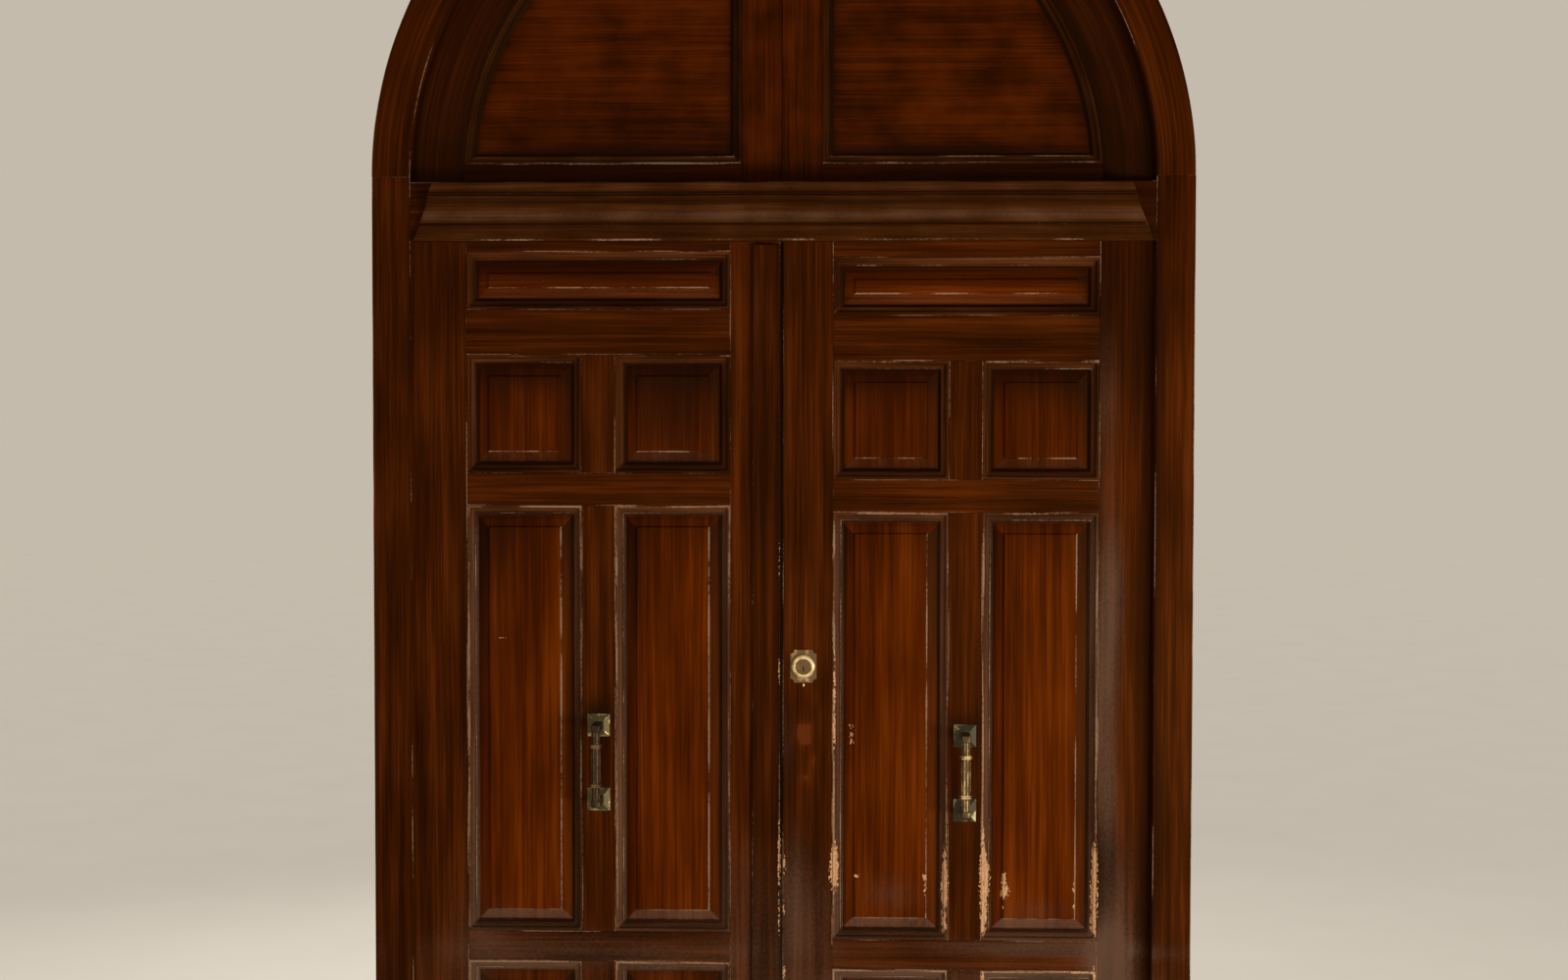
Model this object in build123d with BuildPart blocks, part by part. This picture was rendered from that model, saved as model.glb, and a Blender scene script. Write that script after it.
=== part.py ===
"""Arched double door of panelled wood in its frame, with a fixed half-round tympanum.

Millimetres. X runs across the doorway, +Z is up and the outdoor face looks towards -Y. The
origin is on the floor, at the middle of the doorway and of the frame's depth.
"""
import os
from math import sqrt

from build123d import *

os.makedirs("parts", exist_ok=True)

LEFT, RIGHT = -1, 1

# Leaf members across one leaf, from the meeting edge outwards
meeting_stile = 91.8
opening_width = 211.0
muntin = 61.7
hinge_stile = 109.0
leaf_thickness = 45.0

# Leaf members from the bottom up, as the left leaf is set out
bottom_rail = 188.0
lower_panel = 448.0
lock_rail = 56.0
tall_panel = 786.5
middle_rail = 60.0
square_panel = 216.5
frieze_rail = 83.5
top_panel = 104.5
top_rail = 28.0
right_leaf_drop = 11.3  # the right leaf's rails were set out this much lower

# Running gaps round the leaves
meeting_gap = 5.0
side_gap = 3.0
top_gap = 3.0
bottom_gap = 6.0
stop_gap = 1.0

# Joinery inside the leaves
groove_depth = 10.0
tongue_thickness = 17.0
groove_play = 0.2  # a groove is this much wider than its tongue
tongue_play = 1.0  # a tongue stops this far short of its groove's floor
arris = 1.2  # small chamfer on the long edges of the timbers

# Raised and fielded panels, and the moulding round them
moulding_width = 19.0
moulding_set = 1.0  # the moulding's edge lies this far under the leaf's face
bevel_width = 21.0
bevel_rise = 6.0
field_step = 4.0

# Section of the mouldings, as shares of their width inwards and of their depth downwards
nosing_flat_end = 0.11
nosing_crest = (0.26, 0.15)
nosing_foot = (0.32, 0.32)
hollow_dip = (0.43, 0.57)
hollow_end = (0.63, 0.65)
bead_crest = (0.735, 0.56)
bead_foot = (0.84, 0.70)
moulding_edge = (1.0, 0.88)

# Cover strip on the left leaf
astragal_width = 51.0
astragal_thickness = 8.0
astragal_top_gap = 5.0

# Frame
jamb_face = 70.0
rebate_lap = 14.0
stop_thickness = 24.0
threshold_height = 28.0
threshold_fall = 8.0
threshold_fall_run = 20.0
transom_height = 107.0
transom_tenon = 30.0
transom_tenon_thickness = 22.0
transom_tenon_height = 60.0
spring_rise = 9.0  # the arch springs this far above the transom
anchor_radius = 5.0
anchor_spacing = 600.0
anchor_lowest = 150.0
anchor_count = 4

# Cornice on the transom
fascia_height = 27.0
fascia_proud = 10.0
cornice_step = 4.0
cornice_step_height = 2.0
cove_height = 49.0
cove_reach = 28.0
quirk = 3.0
crown_height = 20.0
crown_proud = 5.0
cornice_end_gap = 6.0  # the foot of the cornice stops short of the clear width
cornice_end_slant = 43.0  # each end leans in by this much over the cornice's height

# Tympanum
tympanum_stile = 73.0
tympanum_joint = 1.0
rim_sight = 94.0  # curved rail seen inside the frame
rail_sight = 34.0  # bottom rail seen above the transom
tympanum_moulding = 20.0
tympanum_play = 0.3

# Hinges
hinge_height = 100.0
hinge_plate = 2.0
hinge_plate_width = 30.0
hinge_margin = 220.0  # centre of the end hinges from the ends of the leaf
hinges_per_leaf = 3
knuckles = 5
knuckle_radius = 6.0
knuckle_gap = 0.4
knuckle_clear = 0.5  # barrel clear of the leaf's inner face
pin_radius = 3.0
pin_play = 0.05
pin_head = 4.5

# Pull handles
pull_height = 1040.0
right_pull_drop = 16.0
pull_centres = 137.0
rose_size = 42.0
rose_base = 2.0
rose_rise = 5.0
rose_top = 20.0
post_width = 16.0
post_height = 14.0
post_play = 0.1
grip_standoff = 42.0
grip_width = 16.5
grip_sides = 8
collar_spacing = 72.0
collar_radius = 12.0
collar_height = 6.0
collar_rounding = 2.0
neck_radius = 6.5

# Lock in the right leaf
lock_height = 1218.6
backset = 38.0
cylinder_radius = 14.3
cylinder_proud = 7.0
cylinder_play = 0.3
plug_radius = 6.5
plug_drop = 5.0  # axis of the plug under the middle of the cylinder
plug_play = 0.05
plug_proud = 0.6
keyway_width = 2.0
keyway_depth = 9.0
tailpiece_width = 8.0
tailpiece_thickness = 2.0
tailpiece_clear = 1.0
collar_ring_radius = 22.5
collar_ring_height = 8.0
collar_ring_lip = 2.5
dome_rim = 0.25  # height of a dome's outer rim, as a share of its whole height
dome_shoulder = (0.74, 0.76)  # the dome's shoulder, as shares of its reach and height
back_plate_width = 48.0
back_plate_height = 60.0
back_plate_thickness = 1.5
back_plate_notch = 7.0
lock_case_depth = 72.0
lock_case_thickness = 14.0
lock_case_below = 45.0
lock_case_above = 85.0
face_plate_thickness = 3.0
face_plate_width = 20.0
face_plate_overhang = 20.0
bolt_rise = 40.0  # bolt above the lock's axis
bolt_height = 25.0
bolt_thickness = 8.0
bolt_length = 50.0
bolt_throw = 16.0
bolt_play = 0.3
bolt_set_back = 0.5
strike_thickness = 2.0
strike_width = 22.0
strike_height = 110.0
strike_play = 1.0
inner_rose_radius = 22.5
inner_rose_thickness = 4.0
turn_spindle_radius = 5.0
turn_length = 36.0
turn_height = 14.0
turn_thickness = 8.0
turn_standoff = 10.0

# Sliding bolts on the left leaf's inner face
slide_plate_length = 180.0
slide_plate_width = 36.0
slide_plate_thickness = 3.0
slide_plate_set = 8.0
guide_height = 10.0
guide_width = 24.0
guide_wall = 4.0
guide_inset = 12.0
rod_radius = 6.0
rod_play = 0.2
rod_lift = 1.0  # rod clear of its plate
rod_length = 240.0
rod_set_back = 4.0
knob_radius = 5.0
knob_length = 18.0
knob_rounding = 2.5
keeper_height = 12.0
keeper_plate_height = 24.0
keeper_set = 15.0  # middle of a keeper from the end of its timber

# Places across the doorway, as distances from its middle
x_meeting = meeting_gap / 2
x_inner = x_meeting + meeting_stile
x_muntin = x_inner + opening_width
x_outer = x_muntin + muntin
x_hinge = x_outer + opening_width
x_leaf = x_hinge + hinge_stile
x_rebate = x_leaf + side_gap
x_sight = x_rebate - rebate_lap
x_frame = x_sight + jamb_face
leaf_middle = (x_inner + x_hinge) / 2

# Depths
frame_depth = stop_thickness + stop_gap + leaf_thickness
y_front = -frame_depth / 2
y_back = frame_depth / 2
y_stop = y_front + stop_thickness
y_leaf = y_stop + stop_gap
y_middle = y_leaf + leaf_thickness / 2
groove_width = tongue_thickness + groove_play
tongue_length = groove_depth - tongue_play
panel_depth = (leaf_thickness - tongue_thickness) / 2  # leaf's face down to a panel's margin

# Heights
leaf_members = (
    bottom_rail, lower_panel, lock_rail, tall_panel, middle_rail,
    square_panel, frieze_rail, top_panel, top_rail,
)
leaf_bottom = threshold_height + bottom_gap
leaf_top = leaf_bottom + sum(leaf_members)
transom_bottom = leaf_top + top_gap - rebate_lap
transom_top = transom_bottom + transom_height
spring = transom_top + spring_rise
tympanum_bottom = transom_top - rebate_lap
tympanum_middle = (y_stop + y_back) / 2
tympanum_open_bottom = transom_top + rail_sight
tympanum_radius = x_rebate - tympanum_play
tympanum_open_radius = x_sight - rim_sight
tympanum_stile_edge = tympanum_joint / 2 + tympanum_stile

# Hinge pins stand in the gap beside the leaf, clear of its inner face
pivot_x = x_leaf + side_gap / 2
pivot_y = y_back + knuckle_clear + knuckle_radius

lock_x = x_meeting + backset
plug_z = lock_height - plug_drop
bolt_z = lock_height + bolt_rise


def save(part, name):
    """Label a finished piece and write it to its own file."""
    part.label = name
    export_step(part, f"parts/{name}.step")


def across(y):
    """Upright plane across the doorway at depth y, with its normal looking outdoors."""
    return Plane.XZ.offset(-y)


def side_name(side):
    """Word for a side of the doorway."""
    return "left" if side == LEFT else "right"


def levels(side):
    """Heights of the edges of a leaf's rails, from its bottom to its top."""
    drop = right_leaf_drop if side == RIGHT else 0.0
    heights = [leaf_bottom]
    for member in leaf_members:
        heights.append(heights[-1] + member)
    return [heights[0]] + [height - drop for height in heights[1:-1]] + [heights[-1]]


def hinge_centres():
    """Heights of the middles of the hinges of a leaf."""
    first = leaf_bottom + hinge_margin
    pitch = (leaf_top - hinge_margin - first) / (hinges_per_leaf - 1)
    return [first + index * pitch for index in range(hinges_per_leaf)]


def rectangle_between(x0, x1, y0, y1, mode=Mode.ADD):
    """Rectangle in the current sketch, from its two corners."""
    with Locations(((x0 + x1) / 2, (y0 + y1) / 2)):
        Rectangle(abs(x1 - x0), abs(y1 - y0), mode=mode)


def arch_fill(radius, base, mode=Mode.ADD):
    """Round-headed shape in the current sketch: a half disc at the springing on straight legs."""
    with BuildLine() as outline:
        Line((radius, base), (radius, spring))
        ThreePointArc((radius, spring), (0, spring + radius), (-radius, spring))
        Line((-radius, spring), (-radius, base))
        Line((-radius, base), (radius, base))
    make_face(outline.edges(), mode=mode)


def leaf_openings(side):
    """Panel openings of a leaf as (inner x, outer x, bottom, top), grouped by row."""
    z = levels(side)
    return {
        "lower": [(x_inner, x_muntin, z[1], z[2]), (x_outer, x_hinge, z[1], z[2])],
        "tall": [(x_inner, x_muntin, z[3], z[4]), (x_outer, x_hinge, z[3], z[4])],
        "square": [(x_inner, x_muntin, z[5], z[6]), (x_outer, x_hinge, z[5], z[6])],
        "top": [(x_inner, x_hinge, z[7], z[8])],
    }


# Leaf members

def cut_groove(x0, x1):
    """Panel groove along an upright timber's edge, cut into the current section."""
    rectangle_between(x0, x1, y_middle - groove_width / 2, y_middle + groove_width / 2, Mode.SUBTRACT)


def make_hinge_stile(side):
    """Hinge stile: an upright timber grooved on its inner edge, with a gain for each hinge."""
    with BuildPart() as stile:
        with BuildSketch(Plane.XY.offset(leaf_bottom)):
            rectangle_between(side * x_hinge, side * x_leaf, y_leaf, y_back)
            cut_groove(side * x_hinge, side * (x_hinge + groove_depth))
        extrude(amount=leaf_top - leaf_bottom)
        for height in hinge_centres():
            with BuildSketch(Plane.XY.offset(height - hinge_height / 2)):
                rectangle_between(
                    side * (x_leaf - hinge_plate), side * x_leaf,
                    y_back - hinge_plate_width, y_back, Mode.ADD,
                )
            extrude(amount=hinge_height, mode=Mode.SUBTRACT)
    save(stile.part, f"{side_name(side)}_hinge_stile")


def make_meeting_stile(side):
    """Meeting stile: grooved on its inner edge, with the pockets of the lock or its strike."""
    with BuildPart() as stile:
        with BuildSketch(Plane.XY.offset(leaf_bottom)):
            rectangle_between(side * x_meeting, side * x_inner, y_leaf, y_back)
            cut_groove(side * (x_inner - groove_depth), side * x_inner)
        extrude(amount=leaf_top - leaf_bottom)
        if side == RIGHT:
            cut_lock_pocket()
        else:
            cut_strike_pocket()
    save(stile.part, f"{side_name(side)}_meeting_stile")


def cut_lock_pocket():
    """Mortise for the lock case, recess for its face plate, and the bores of the cylinder."""
    with BuildSketch(Plane.YZ.offset(x_meeting)) as mortise:
        rectangle_between(
            y_middle - lock_case_thickness / 2, y_middle + lock_case_thickness / 2,
            lock_height - lock_case_below, lock_height + lock_case_above,
        )
    extrude(mortise.sketch, amount=face_plate_thickness + lock_case_depth, mode=Mode.SUBTRACT)
    with BuildSketch(Plane.YZ.offset(x_meeting)) as recess:
        rectangle_between(
            y_middle - face_plate_width / 2, y_middle + face_plate_width / 2,
            lock_height - lock_case_below - face_plate_overhang,
            lock_height + lock_case_above + face_plate_overhang,
        )
    extrude(recess.sketch, amount=face_plate_thickness, mode=Mode.SUBTRACT)
    with BuildSketch(across(y_middle)) as cylinder_bore:
        with Locations((lock_x, lock_height)):
            Circle(cylinder_radius + cylinder_play)
    extrude(cylinder_bore.sketch, amount=leaf_thickness / 2, mode=Mode.SUBTRACT)
    with BuildSketch(across(y_back)) as spindle_bore:
        with Locations((lock_x, plug_z)):
            Circle(turn_spindle_radius + cylinder_play)
    extrude(spindle_bore.sketch, amount=leaf_thickness / 2, mode=Mode.SUBTRACT)


def cut_strike_pocket():
    """Recess for the strike plate and the pocket that takes the thrown bolt."""
    with BuildSketch(Plane.YZ.offset(-x_meeting)) as recess:
        rectangle_between(
            y_middle - strike_width / 2, y_middle + strike_width / 2,
            bolt_z - strike_height / 2, bolt_z + strike_height / 2,
        )
    extrude(recess.sketch, amount=-strike_thickness, mode=Mode.SUBTRACT)
    with BuildSketch(Plane.YZ.offset(-x_meeting)) as pocket:
        with Locations((y_middle, bolt_z)):
            Rectangle(bolt_thickness + 2 * strike_play, bolt_height + 2 * strike_play)
    extrude(pocket.sketch, amount=-(bolt_throw + strike_thickness + strike_play), mode=Mode.SUBTRACT)


def make_rail(side, name, bottom, top, groove_below=True, groove_above=True):
    """Rail from stile to stile: grooved edges, and a stub tenon at each end in the stiles' grooves."""
    low = bottom + (groove_depth if groove_below else 0.0)
    high = top - (groove_depth if groove_above else 0.0)
    half = (x_hinge - x_inner) / 2
    section_plane = Plane.YZ.offset(side * leaf_middle)
    with BuildPart() as rail:
        with BuildSketch(section_plane):
            rectangle_between(y_leaf, y_back, bottom, top)
            groove = (y_middle - groove_width / 2, y_middle + groove_width / 2)
            if groove_below:
                rectangle_between(*groove, bottom, low, Mode.SUBTRACT)
            if groove_above:
                rectangle_between(*groove, high, top, Mode.SUBTRACT)
        extrude(amount=half, both=True)
        with BuildSketch(section_plane):
            rectangle_between(y_middle - tongue_thickness / 2, y_middle + tongue_thickness / 2, low, high)
        extrude(amount=half + tongue_length, both=True)
    save(rail.part, f"{side_name(side)}_{name}")


def make_muntins(side):
    """The three upright muntins of a leaf, each with a stub tenon at both ends."""
    with BuildPart() as muntins:
        for row in ("lower", "tall", "square"):
            bottom, top = leaf_openings(side)[row][0][2:]
            with BuildSketch(Plane.XY.offset(bottom)):
                rectangle_between(side * x_muntin, side * x_outer, y_leaf, y_back)
                cut_groove(side * x_muntin, side * (x_muntin + groove_depth))
                cut_groove(side * (x_outer - groove_depth), side * x_outer)
            extrude(amount=top - bottom)
            with BuildSketch(Plane.XY.offset(bottom - tongue_length)):
                rectangle_between(
                    side * (x_muntin + groove_depth), side * (x_outer - groove_depth),
                    y_middle - tongue_thickness / 2, y_middle + tongue_thickness / 2,
                )
            extrude(amount=top - bottom + 2 * tongue_length)
    save(muntins.part, f"{side_name(side)}_muntins")


def add_raised_panel(side, opening):
    """One raised and fielded panel, alike on both faces, with its tongue round the edge."""
    near, far, bottom, top = opening
    centre = (side * (near + far) / 2, (bottom + top) / 2)
    width, height = far - near, top - bottom
    with BuildSketch(across(y_middle)) as tongue:
        with Locations(centre):
            Rectangle(width + 2 * tongue_length, height + 2 * tongue_length)
    extrude(tongue.sketch, amount=tongue_thickness / 2, both=True)
    base_inset = 2 * moulding_width
    field_inset = base_inset + 2 * bevel_width
    for out in (-1, 1):
        margin = y_middle + out * tongue_thickness / 2
        with BuildSketch(across(margin)) as base:
            with Locations(centre):
                Rectangle(width - base_inset, height - base_inset)
        with BuildSketch(across(margin + out * bevel_rise)) as field:
            with Locations(centre):
                Rectangle(width - field_inset, height - field_inset)
        loft([base.sketch, field.sketch])
        extrude(field.sketch, amount=-out * field_step)


def make_panels(side, name, rows):
    """A group of panels of one leaf."""
    with BuildPart() as panels:
        for row in rows:
            for opening in leaf_openings(side)[row]:
                add_raised_panel(side, opening)
    save(panels.part, f"{side_name(side)}_{name}")


def moulding_section(width, depth):
    """Panel moulding seen on its cut end: a nosing, a hollow and a bead, falling to the panel.

    The first coordinate runs from the opening's edge inwards. The second is zero on the
    timber's face and falls into its depth.
    """
    def at(point):
        return (width * point[0], -depth * point[1])

    flat_end = (width * nosing_flat_end, -moulding_set)
    with BuildLine() as outline:
        Line((0, -moulding_set), flat_end)
        ThreePointArc(flat_end, at(nosing_crest), at(nosing_foot))
        ThreePointArc(at(nosing_foot), at(hollow_dip), at(hollow_end))
        ThreePointArc(at(hollow_end), at(bead_crest), at(bead_foot))
        Polyline(at(bead_foot), at(moulding_edge), (width, -depth), (0, -depth), (0, -moulding_set))
    make_face(outline.edges())


def add_moulding_ring(side, opening):
    """Mitred moulding round one panel opening, on the outdoor face."""
    near, far, bottom, top = opening
    x0, x1 = sorted((side * near, side * far))
    start = (x0 + x1) / 2
    with BuildLine() as path:
        Polyline(
            (start, y_leaf, bottom), (x1, y_leaf, bottom), (x1, y_leaf, top),
            (x0, y_leaf, top), (x0, y_leaf, bottom), (start, y_leaf, bottom),
        )
    section_plane = Plane(origin=(start, y_leaf, bottom), x_dir=(0, 0, 1), z_dir=(1, 0, 0))
    with BuildSketch(section_plane) as section:
        moulding_section(moulding_width, panel_depth)
    sweep(section.sketch, path=path.wires()[0], transition=Transition.RIGHT)


def make_mouldings(side):
    """All panel mouldings of one leaf, on both faces."""
    with BuildPart() as mouldings:
        for openings in leaf_openings(side).values():
            for opening in openings:
                add_moulding_ring(side, opening)
        mirror(about=across(y_middle))
    save(mouldings.part, f"{side_name(side)}_panel_mouldings")


def make_leaf(side):
    """All timbers, panels and mouldings of one leaf."""
    z = levels(side)
    make_hinge_stile(side)
    make_meeting_stile(side)
    make_rail(side, "bottom_rail", z[0], z[1], groove_below=False)
    make_rail(side, "lock_rail", z[2], z[3])
    make_rail(side, "middle_rail", z[4], z[5])
    make_rail(side, "frieze_rail", z[6], z[7])
    make_rail(side, "top_rail", z[8], z[9], groove_above=False)
    make_muntins(side)
    make_panels(side, "upper_panels", ("top", "square"))
    make_panels(side, "tall_panels", ("tall",))
    make_panels(side, "lower_panels", ("lower",))
    make_mouldings(side)


def make_astragal():
    """Flat cover strip along the left leaf's meeting edge, with eased arrises."""
    with BuildPart() as astragal:
        with BuildSketch(Plane.XY.offset(leaf_bottom)):
            rectangle_between(
                -x_meeting - astragal_width, -x_meeting, y_leaf - astragal_thickness, y_leaf,
            )
        extrude(amount=transom_bottom - astragal_top_gap - leaf_bottom)
        outer_face = astragal.faces().sort_by(Axis.Y)[0]
        chamfer(outer_face.edges().filter_by(Axis.Z), length=arris)
    save(astragal.part, "astragal")


# Frame

def make_jamb(side):
    """Jamb: rebated for the leaf, with gains for the hinges, anchor holes and a transom mortise."""
    with BuildPart() as jamb:
        with BuildSketch(Plane.XY):
            rectangle_between(side * x_sight, side * x_frame, y_front, y_back)
            rectangle_between(side * x_sight, side * x_rebate, y_stop, y_back, Mode.SUBTRACT)
        extrude(amount=spring)
        for height in hinge_centres():
            with BuildSketch(Plane.XY.offset(height - hinge_height / 2)):
                rectangle_between(
                    side * x_rebate, side * (x_rebate + hinge_plate),
                    y_back - hinge_plate_width, y_back,
                )
            extrude(amount=hinge_height, mode=Mode.SUBTRACT)
        with BuildSketch(Plane.YZ.offset(side * x_sight)):
            for index in range(anchor_count):
                with Locations(((y_stop + y_middle) / 2, anchor_lowest + index * anchor_spacing)):
                    Circle(anchor_radius)
        extrude(amount=side * jamb_face, mode=Mode.SUBTRACT)
        with BuildSketch(Plane.YZ.offset(side * x_sight)):
            with Locations((y_middle, transom_bottom + transom_height / 2)):
                Rectangle(transom_tenon_thickness + groove_play, transom_tenon_height + groove_play)
        extrude(amount=side * (rebate_lap + transom_tenon + tongue_play), mode=Mode.SUBTRACT)
    save(jamb.part, f"{side_name(side)}_jamb")


def make_threshold():
    """Threshold: falls outwards at the front, and reaches into the jambs' rebates behind."""
    with BuildPart() as threshold:
        with BuildSketch(Plane.YZ):
            with BuildLine():
                Polyline(
                    (y_front, 0), (y_back, 0), (y_back, threshold_height),
                    (y_front + threshold_fall_run, threshold_height),
                    (y_front, threshold_height - threshold_fall), close=True,
                )
            make_face()
        extrude(amount=x_rebate, both=True)
        for side in (LEFT, RIGHT):
            with BuildSketch(Plane.XY):
                rectangle_between(side * x_sight, side * x_rebate, y_front, y_stop)
            extrude(amount=threshold_height, mode=Mode.SUBTRACT)
    save(threshold.part, "threshold")


def make_transom():
    """Transom: rebated below for the leaves and above for the tympanum, tenoned into the jambs."""
    with BuildPart() as transom:
        with BuildSketch(Plane.YZ):
            rectangle_between(y_front, y_back, transom_bottom, transom_top)
            rectangle_between(y_stop, y_back, transom_bottom, transom_bottom + rebate_lap, Mode.SUBTRACT)
            rectangle_between(y_stop, y_back, tympanum_bottom, transom_top, Mode.SUBTRACT)
        extrude(amount=x_sight, both=True)
        with BuildSketch(Plane.YZ):
            rectangle_between(y_stop, y_back, transom_bottom + rebate_lap, tympanum_bottom)
        extrude(amount=x_rebate, both=True)
        with BuildSketch(Plane.YZ):
            with Locations((y_middle, transom_bottom + transom_height / 2)):
                Rectangle(transom_tenon_thickness, transom_tenon_height)
        extrude(amount=x_rebate + transom_tenon, both=True)
    save(transom.part, "transom")


def make_cornice():
    """Moulded cornice planted on the transom: fascia, step, cove, quirk and crown fillet."""
    fascia_y = y_front - fascia_proud
    fascia_z = transom_bottom + fascia_height
    cove_y = fascia_y - cornice_step
    cove_z = fascia_z + cornice_step_height
    lip_y = cove_y - cove_reach
    lip_z = cove_z + cove_height
    crown_y = lip_y - crown_proud
    crown_z = lip_z + quirk
    top_z = crown_z + crown_height
    foot = x_sight - cornice_end_gap
    slant = cornice_end_slant
    with BuildPart() as cornice:
        with BuildSketch(Plane.YZ):
            with BuildLine():
                Polyline(
                    (y_front, transom_bottom), (fascia_y, transom_bottom), (fascia_y, fascia_z),
                    (cove_y, cove_z),
                )
                EllipticalCenterArc(
                    center=(lip_y, cove_z), x_radius=cove_reach, y_radius=cove_height,
                    start_angle=0, arc_size=90,
                )
                Polyline(
                    (lip_y, lip_z), (lip_y + quirk, lip_z), (lip_y + quirk, crown_z),
                    (crown_y, crown_z), (crown_y, top_z), (y_front, top_z),
                    (y_front, transom_bottom),
                )
            make_face()
        extrude(amount=foot, both=True)
        with BuildSketch(across(y_front)):
            with BuildLine():
                Polyline(
                    (-foot, transom_bottom), (foot, transom_bottom), (foot - slant, top_z),
                    (slant - foot, top_z), close=True,
                )
            make_face()
        extrude(amount=y_front - crown_y, mode=Mode.INTERSECT)
    save(cornice.part, "cornice")


def quadrant(side, radius, mode=Mode.INTERSECT):
    """Keep only one quarter of the current sketch, above the springing."""
    rectangle_between(0, side * radius, spring, spring + radius, mode)


def make_arch_head(side):
    """One curved half of the frame's head, rebated like the jambs."""
    with BuildPart() as head:
        with BuildSketch(across(y_back)):
            with Locations((0, spring)):
                Circle(x_frame)
                Circle(x_sight, mode=Mode.SUBTRACT)
            quadrant(side, x_frame)
        extrude(amount=frame_depth)
        with BuildSketch(across(y_back)):
            with Locations((0, spring)):
                Circle(x_rebate)
        extrude(amount=y_back - y_stop, mode=Mode.SUBTRACT)
    save(head.part, f"arch_head_{side_name(side)}")


# Tympanum

def tympanum_opening(side, grow):
    """Panel opening of one quadrant in the current sketch, grown outwards all round."""
    arch_fill(tympanum_open_radius + grow, tympanum_bottom)
    rectangle_between(
        side * (tympanum_stile_edge - grow), side * (tympanum_open_radius + grow),
        tympanum_open_bottom - grow, spring + tympanum_open_radius + grow, Mode.INTERSECT,
    )


def cut_tympanum_groove(side):
    """Panel groove round the opening of one quadrant."""
    with BuildSketch(across(tympanum_middle)) as groove:
        tympanum_opening(side, groove_depth)
    extrude(groove.sketch, amount=groove_width / 2, both=True, mode=Mode.SUBTRACT)


def make_tympanum_stile(side):
    """Stile of one quadrant; the two stiles together are the centre mullion."""
    with BuildPart() as stile:
        with BuildSketch(across(y_back)):
            arch_fill(tympanum_radius, tympanum_bottom)
            rectangle_between(
                side * tympanum_joint / 2, side * tympanum_stile_edge,
                tympanum_bottom, spring + tympanum_radius, Mode.INTERSECT,
            )
        extrude(amount=y_back - y_stop)
        cut_tympanum_groove(side)
    save(stile.part, f"tympanum_stile_{side_name(side)}")


def make_curved_rail(side):
    """Curved rail of one quadrant, from its foot on the transom to the stile."""
    with BuildPart() as rail:
        with BuildSketch(across(y_back)):
            arch_fill(tympanum_radius, tympanum_bottom)
            arch_fill(tympanum_open_radius, tympanum_bottom, Mode.SUBTRACT)
            rectangle_between(
                side * tympanum_stile_edge, side * tympanum_radius,
                tympanum_bottom, spring + tympanum_radius, Mode.INTERSECT,
            )
        extrude(amount=y_back - y_stop)
        cut_tympanum_groove(side)
    save(rail.part, f"tympanum_curved_rail_{side_name(side)}")


def make_tympanum_bottom_rails():
    """Bottom rails of the two quadrants, scribed to the curved rails."""
    with BuildPart() as rails:
        for side in (LEFT, RIGHT):
            with BuildSketch(across(y_back)):
                arch_fill(tympanum_open_radius, tympanum_bottom)
                rectangle_between(
                    side * tympanum_stile_edge, side * tympanum_open_radius,
                    tympanum_bottom, tympanum_open_bottom, Mode.INTERSECT,
                )
            extrude(amount=y_back - y_stop)
            cut_tympanum_groove(side)
    save(rails.part, "tympanum_bottom_rails")


def make_tympanum_panel(side):
    """Flat panel of one quadrant."""
    with BuildPart() as panel:
        with BuildSketch(across(tympanum_middle)):
            tympanum_opening(side, tongue_length)
        extrude(amount=tongue_thickness / 2, both=True)
    save(panel.part, f"tympanum_panel_{side_name(side)}")


def make_tympanum_mouldings():
    """Mitred moulding round both quadrant panels, on both faces."""
    foot = tympanum_open_bottom
    half_chord = sqrt(tympanum_open_radius**2 - (foot - spring) ** 2)
    crown = spring + sqrt(tympanum_open_radius**2 - tympanum_stile_edge**2)
    shoulder = tympanum_open_radius / sqrt(2)
    start = (tympanum_stile_edge, y_stop, (foot + crown) / 2)
    with BuildPart() as mouldings:
        with BuildLine() as path:
            Polyline(start, (tympanum_stile_edge, y_stop, foot), (half_chord, y_stop, foot))
            ThreePointArc(
                (half_chord, y_stop, foot), (shoulder, y_stop, spring + shoulder),
                (tympanum_stile_edge, y_stop, crown),
            )
            Line((tympanum_stile_edge, y_stop, crown), start)
        with BuildSketch(Plane(origin=start, x_dir=(1, 0, 0), z_dir=(0, 0, -1))):
            moulding_section(tympanum_moulding, (y_back - y_stop - tongue_thickness) / 2)
        sweep(path=path.wires()[0], transition=Transition.RIGHT)
        mirror(about=across(tympanum_middle))
        mirror(about=Plane.YZ)
    save(mouldings.part, "tympanum_mouldings")


# Hinges

def knuckle_spans(height, on_leaf):
    """Lower and upper ends of the knuckles of one hinge that belong to the leaf or to the frame."""
    pitch = hinge_height / knuckles
    first = height - hinge_height / 2
    chosen = range(1, knuckles, 2) if on_leaf else range(0, knuckles, 2)
    return [
        (first + index * pitch + knuckle_gap / 2, first + (index + 1) * pitch - knuckle_gap / 2)
        for index in chosen
    ]


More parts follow.
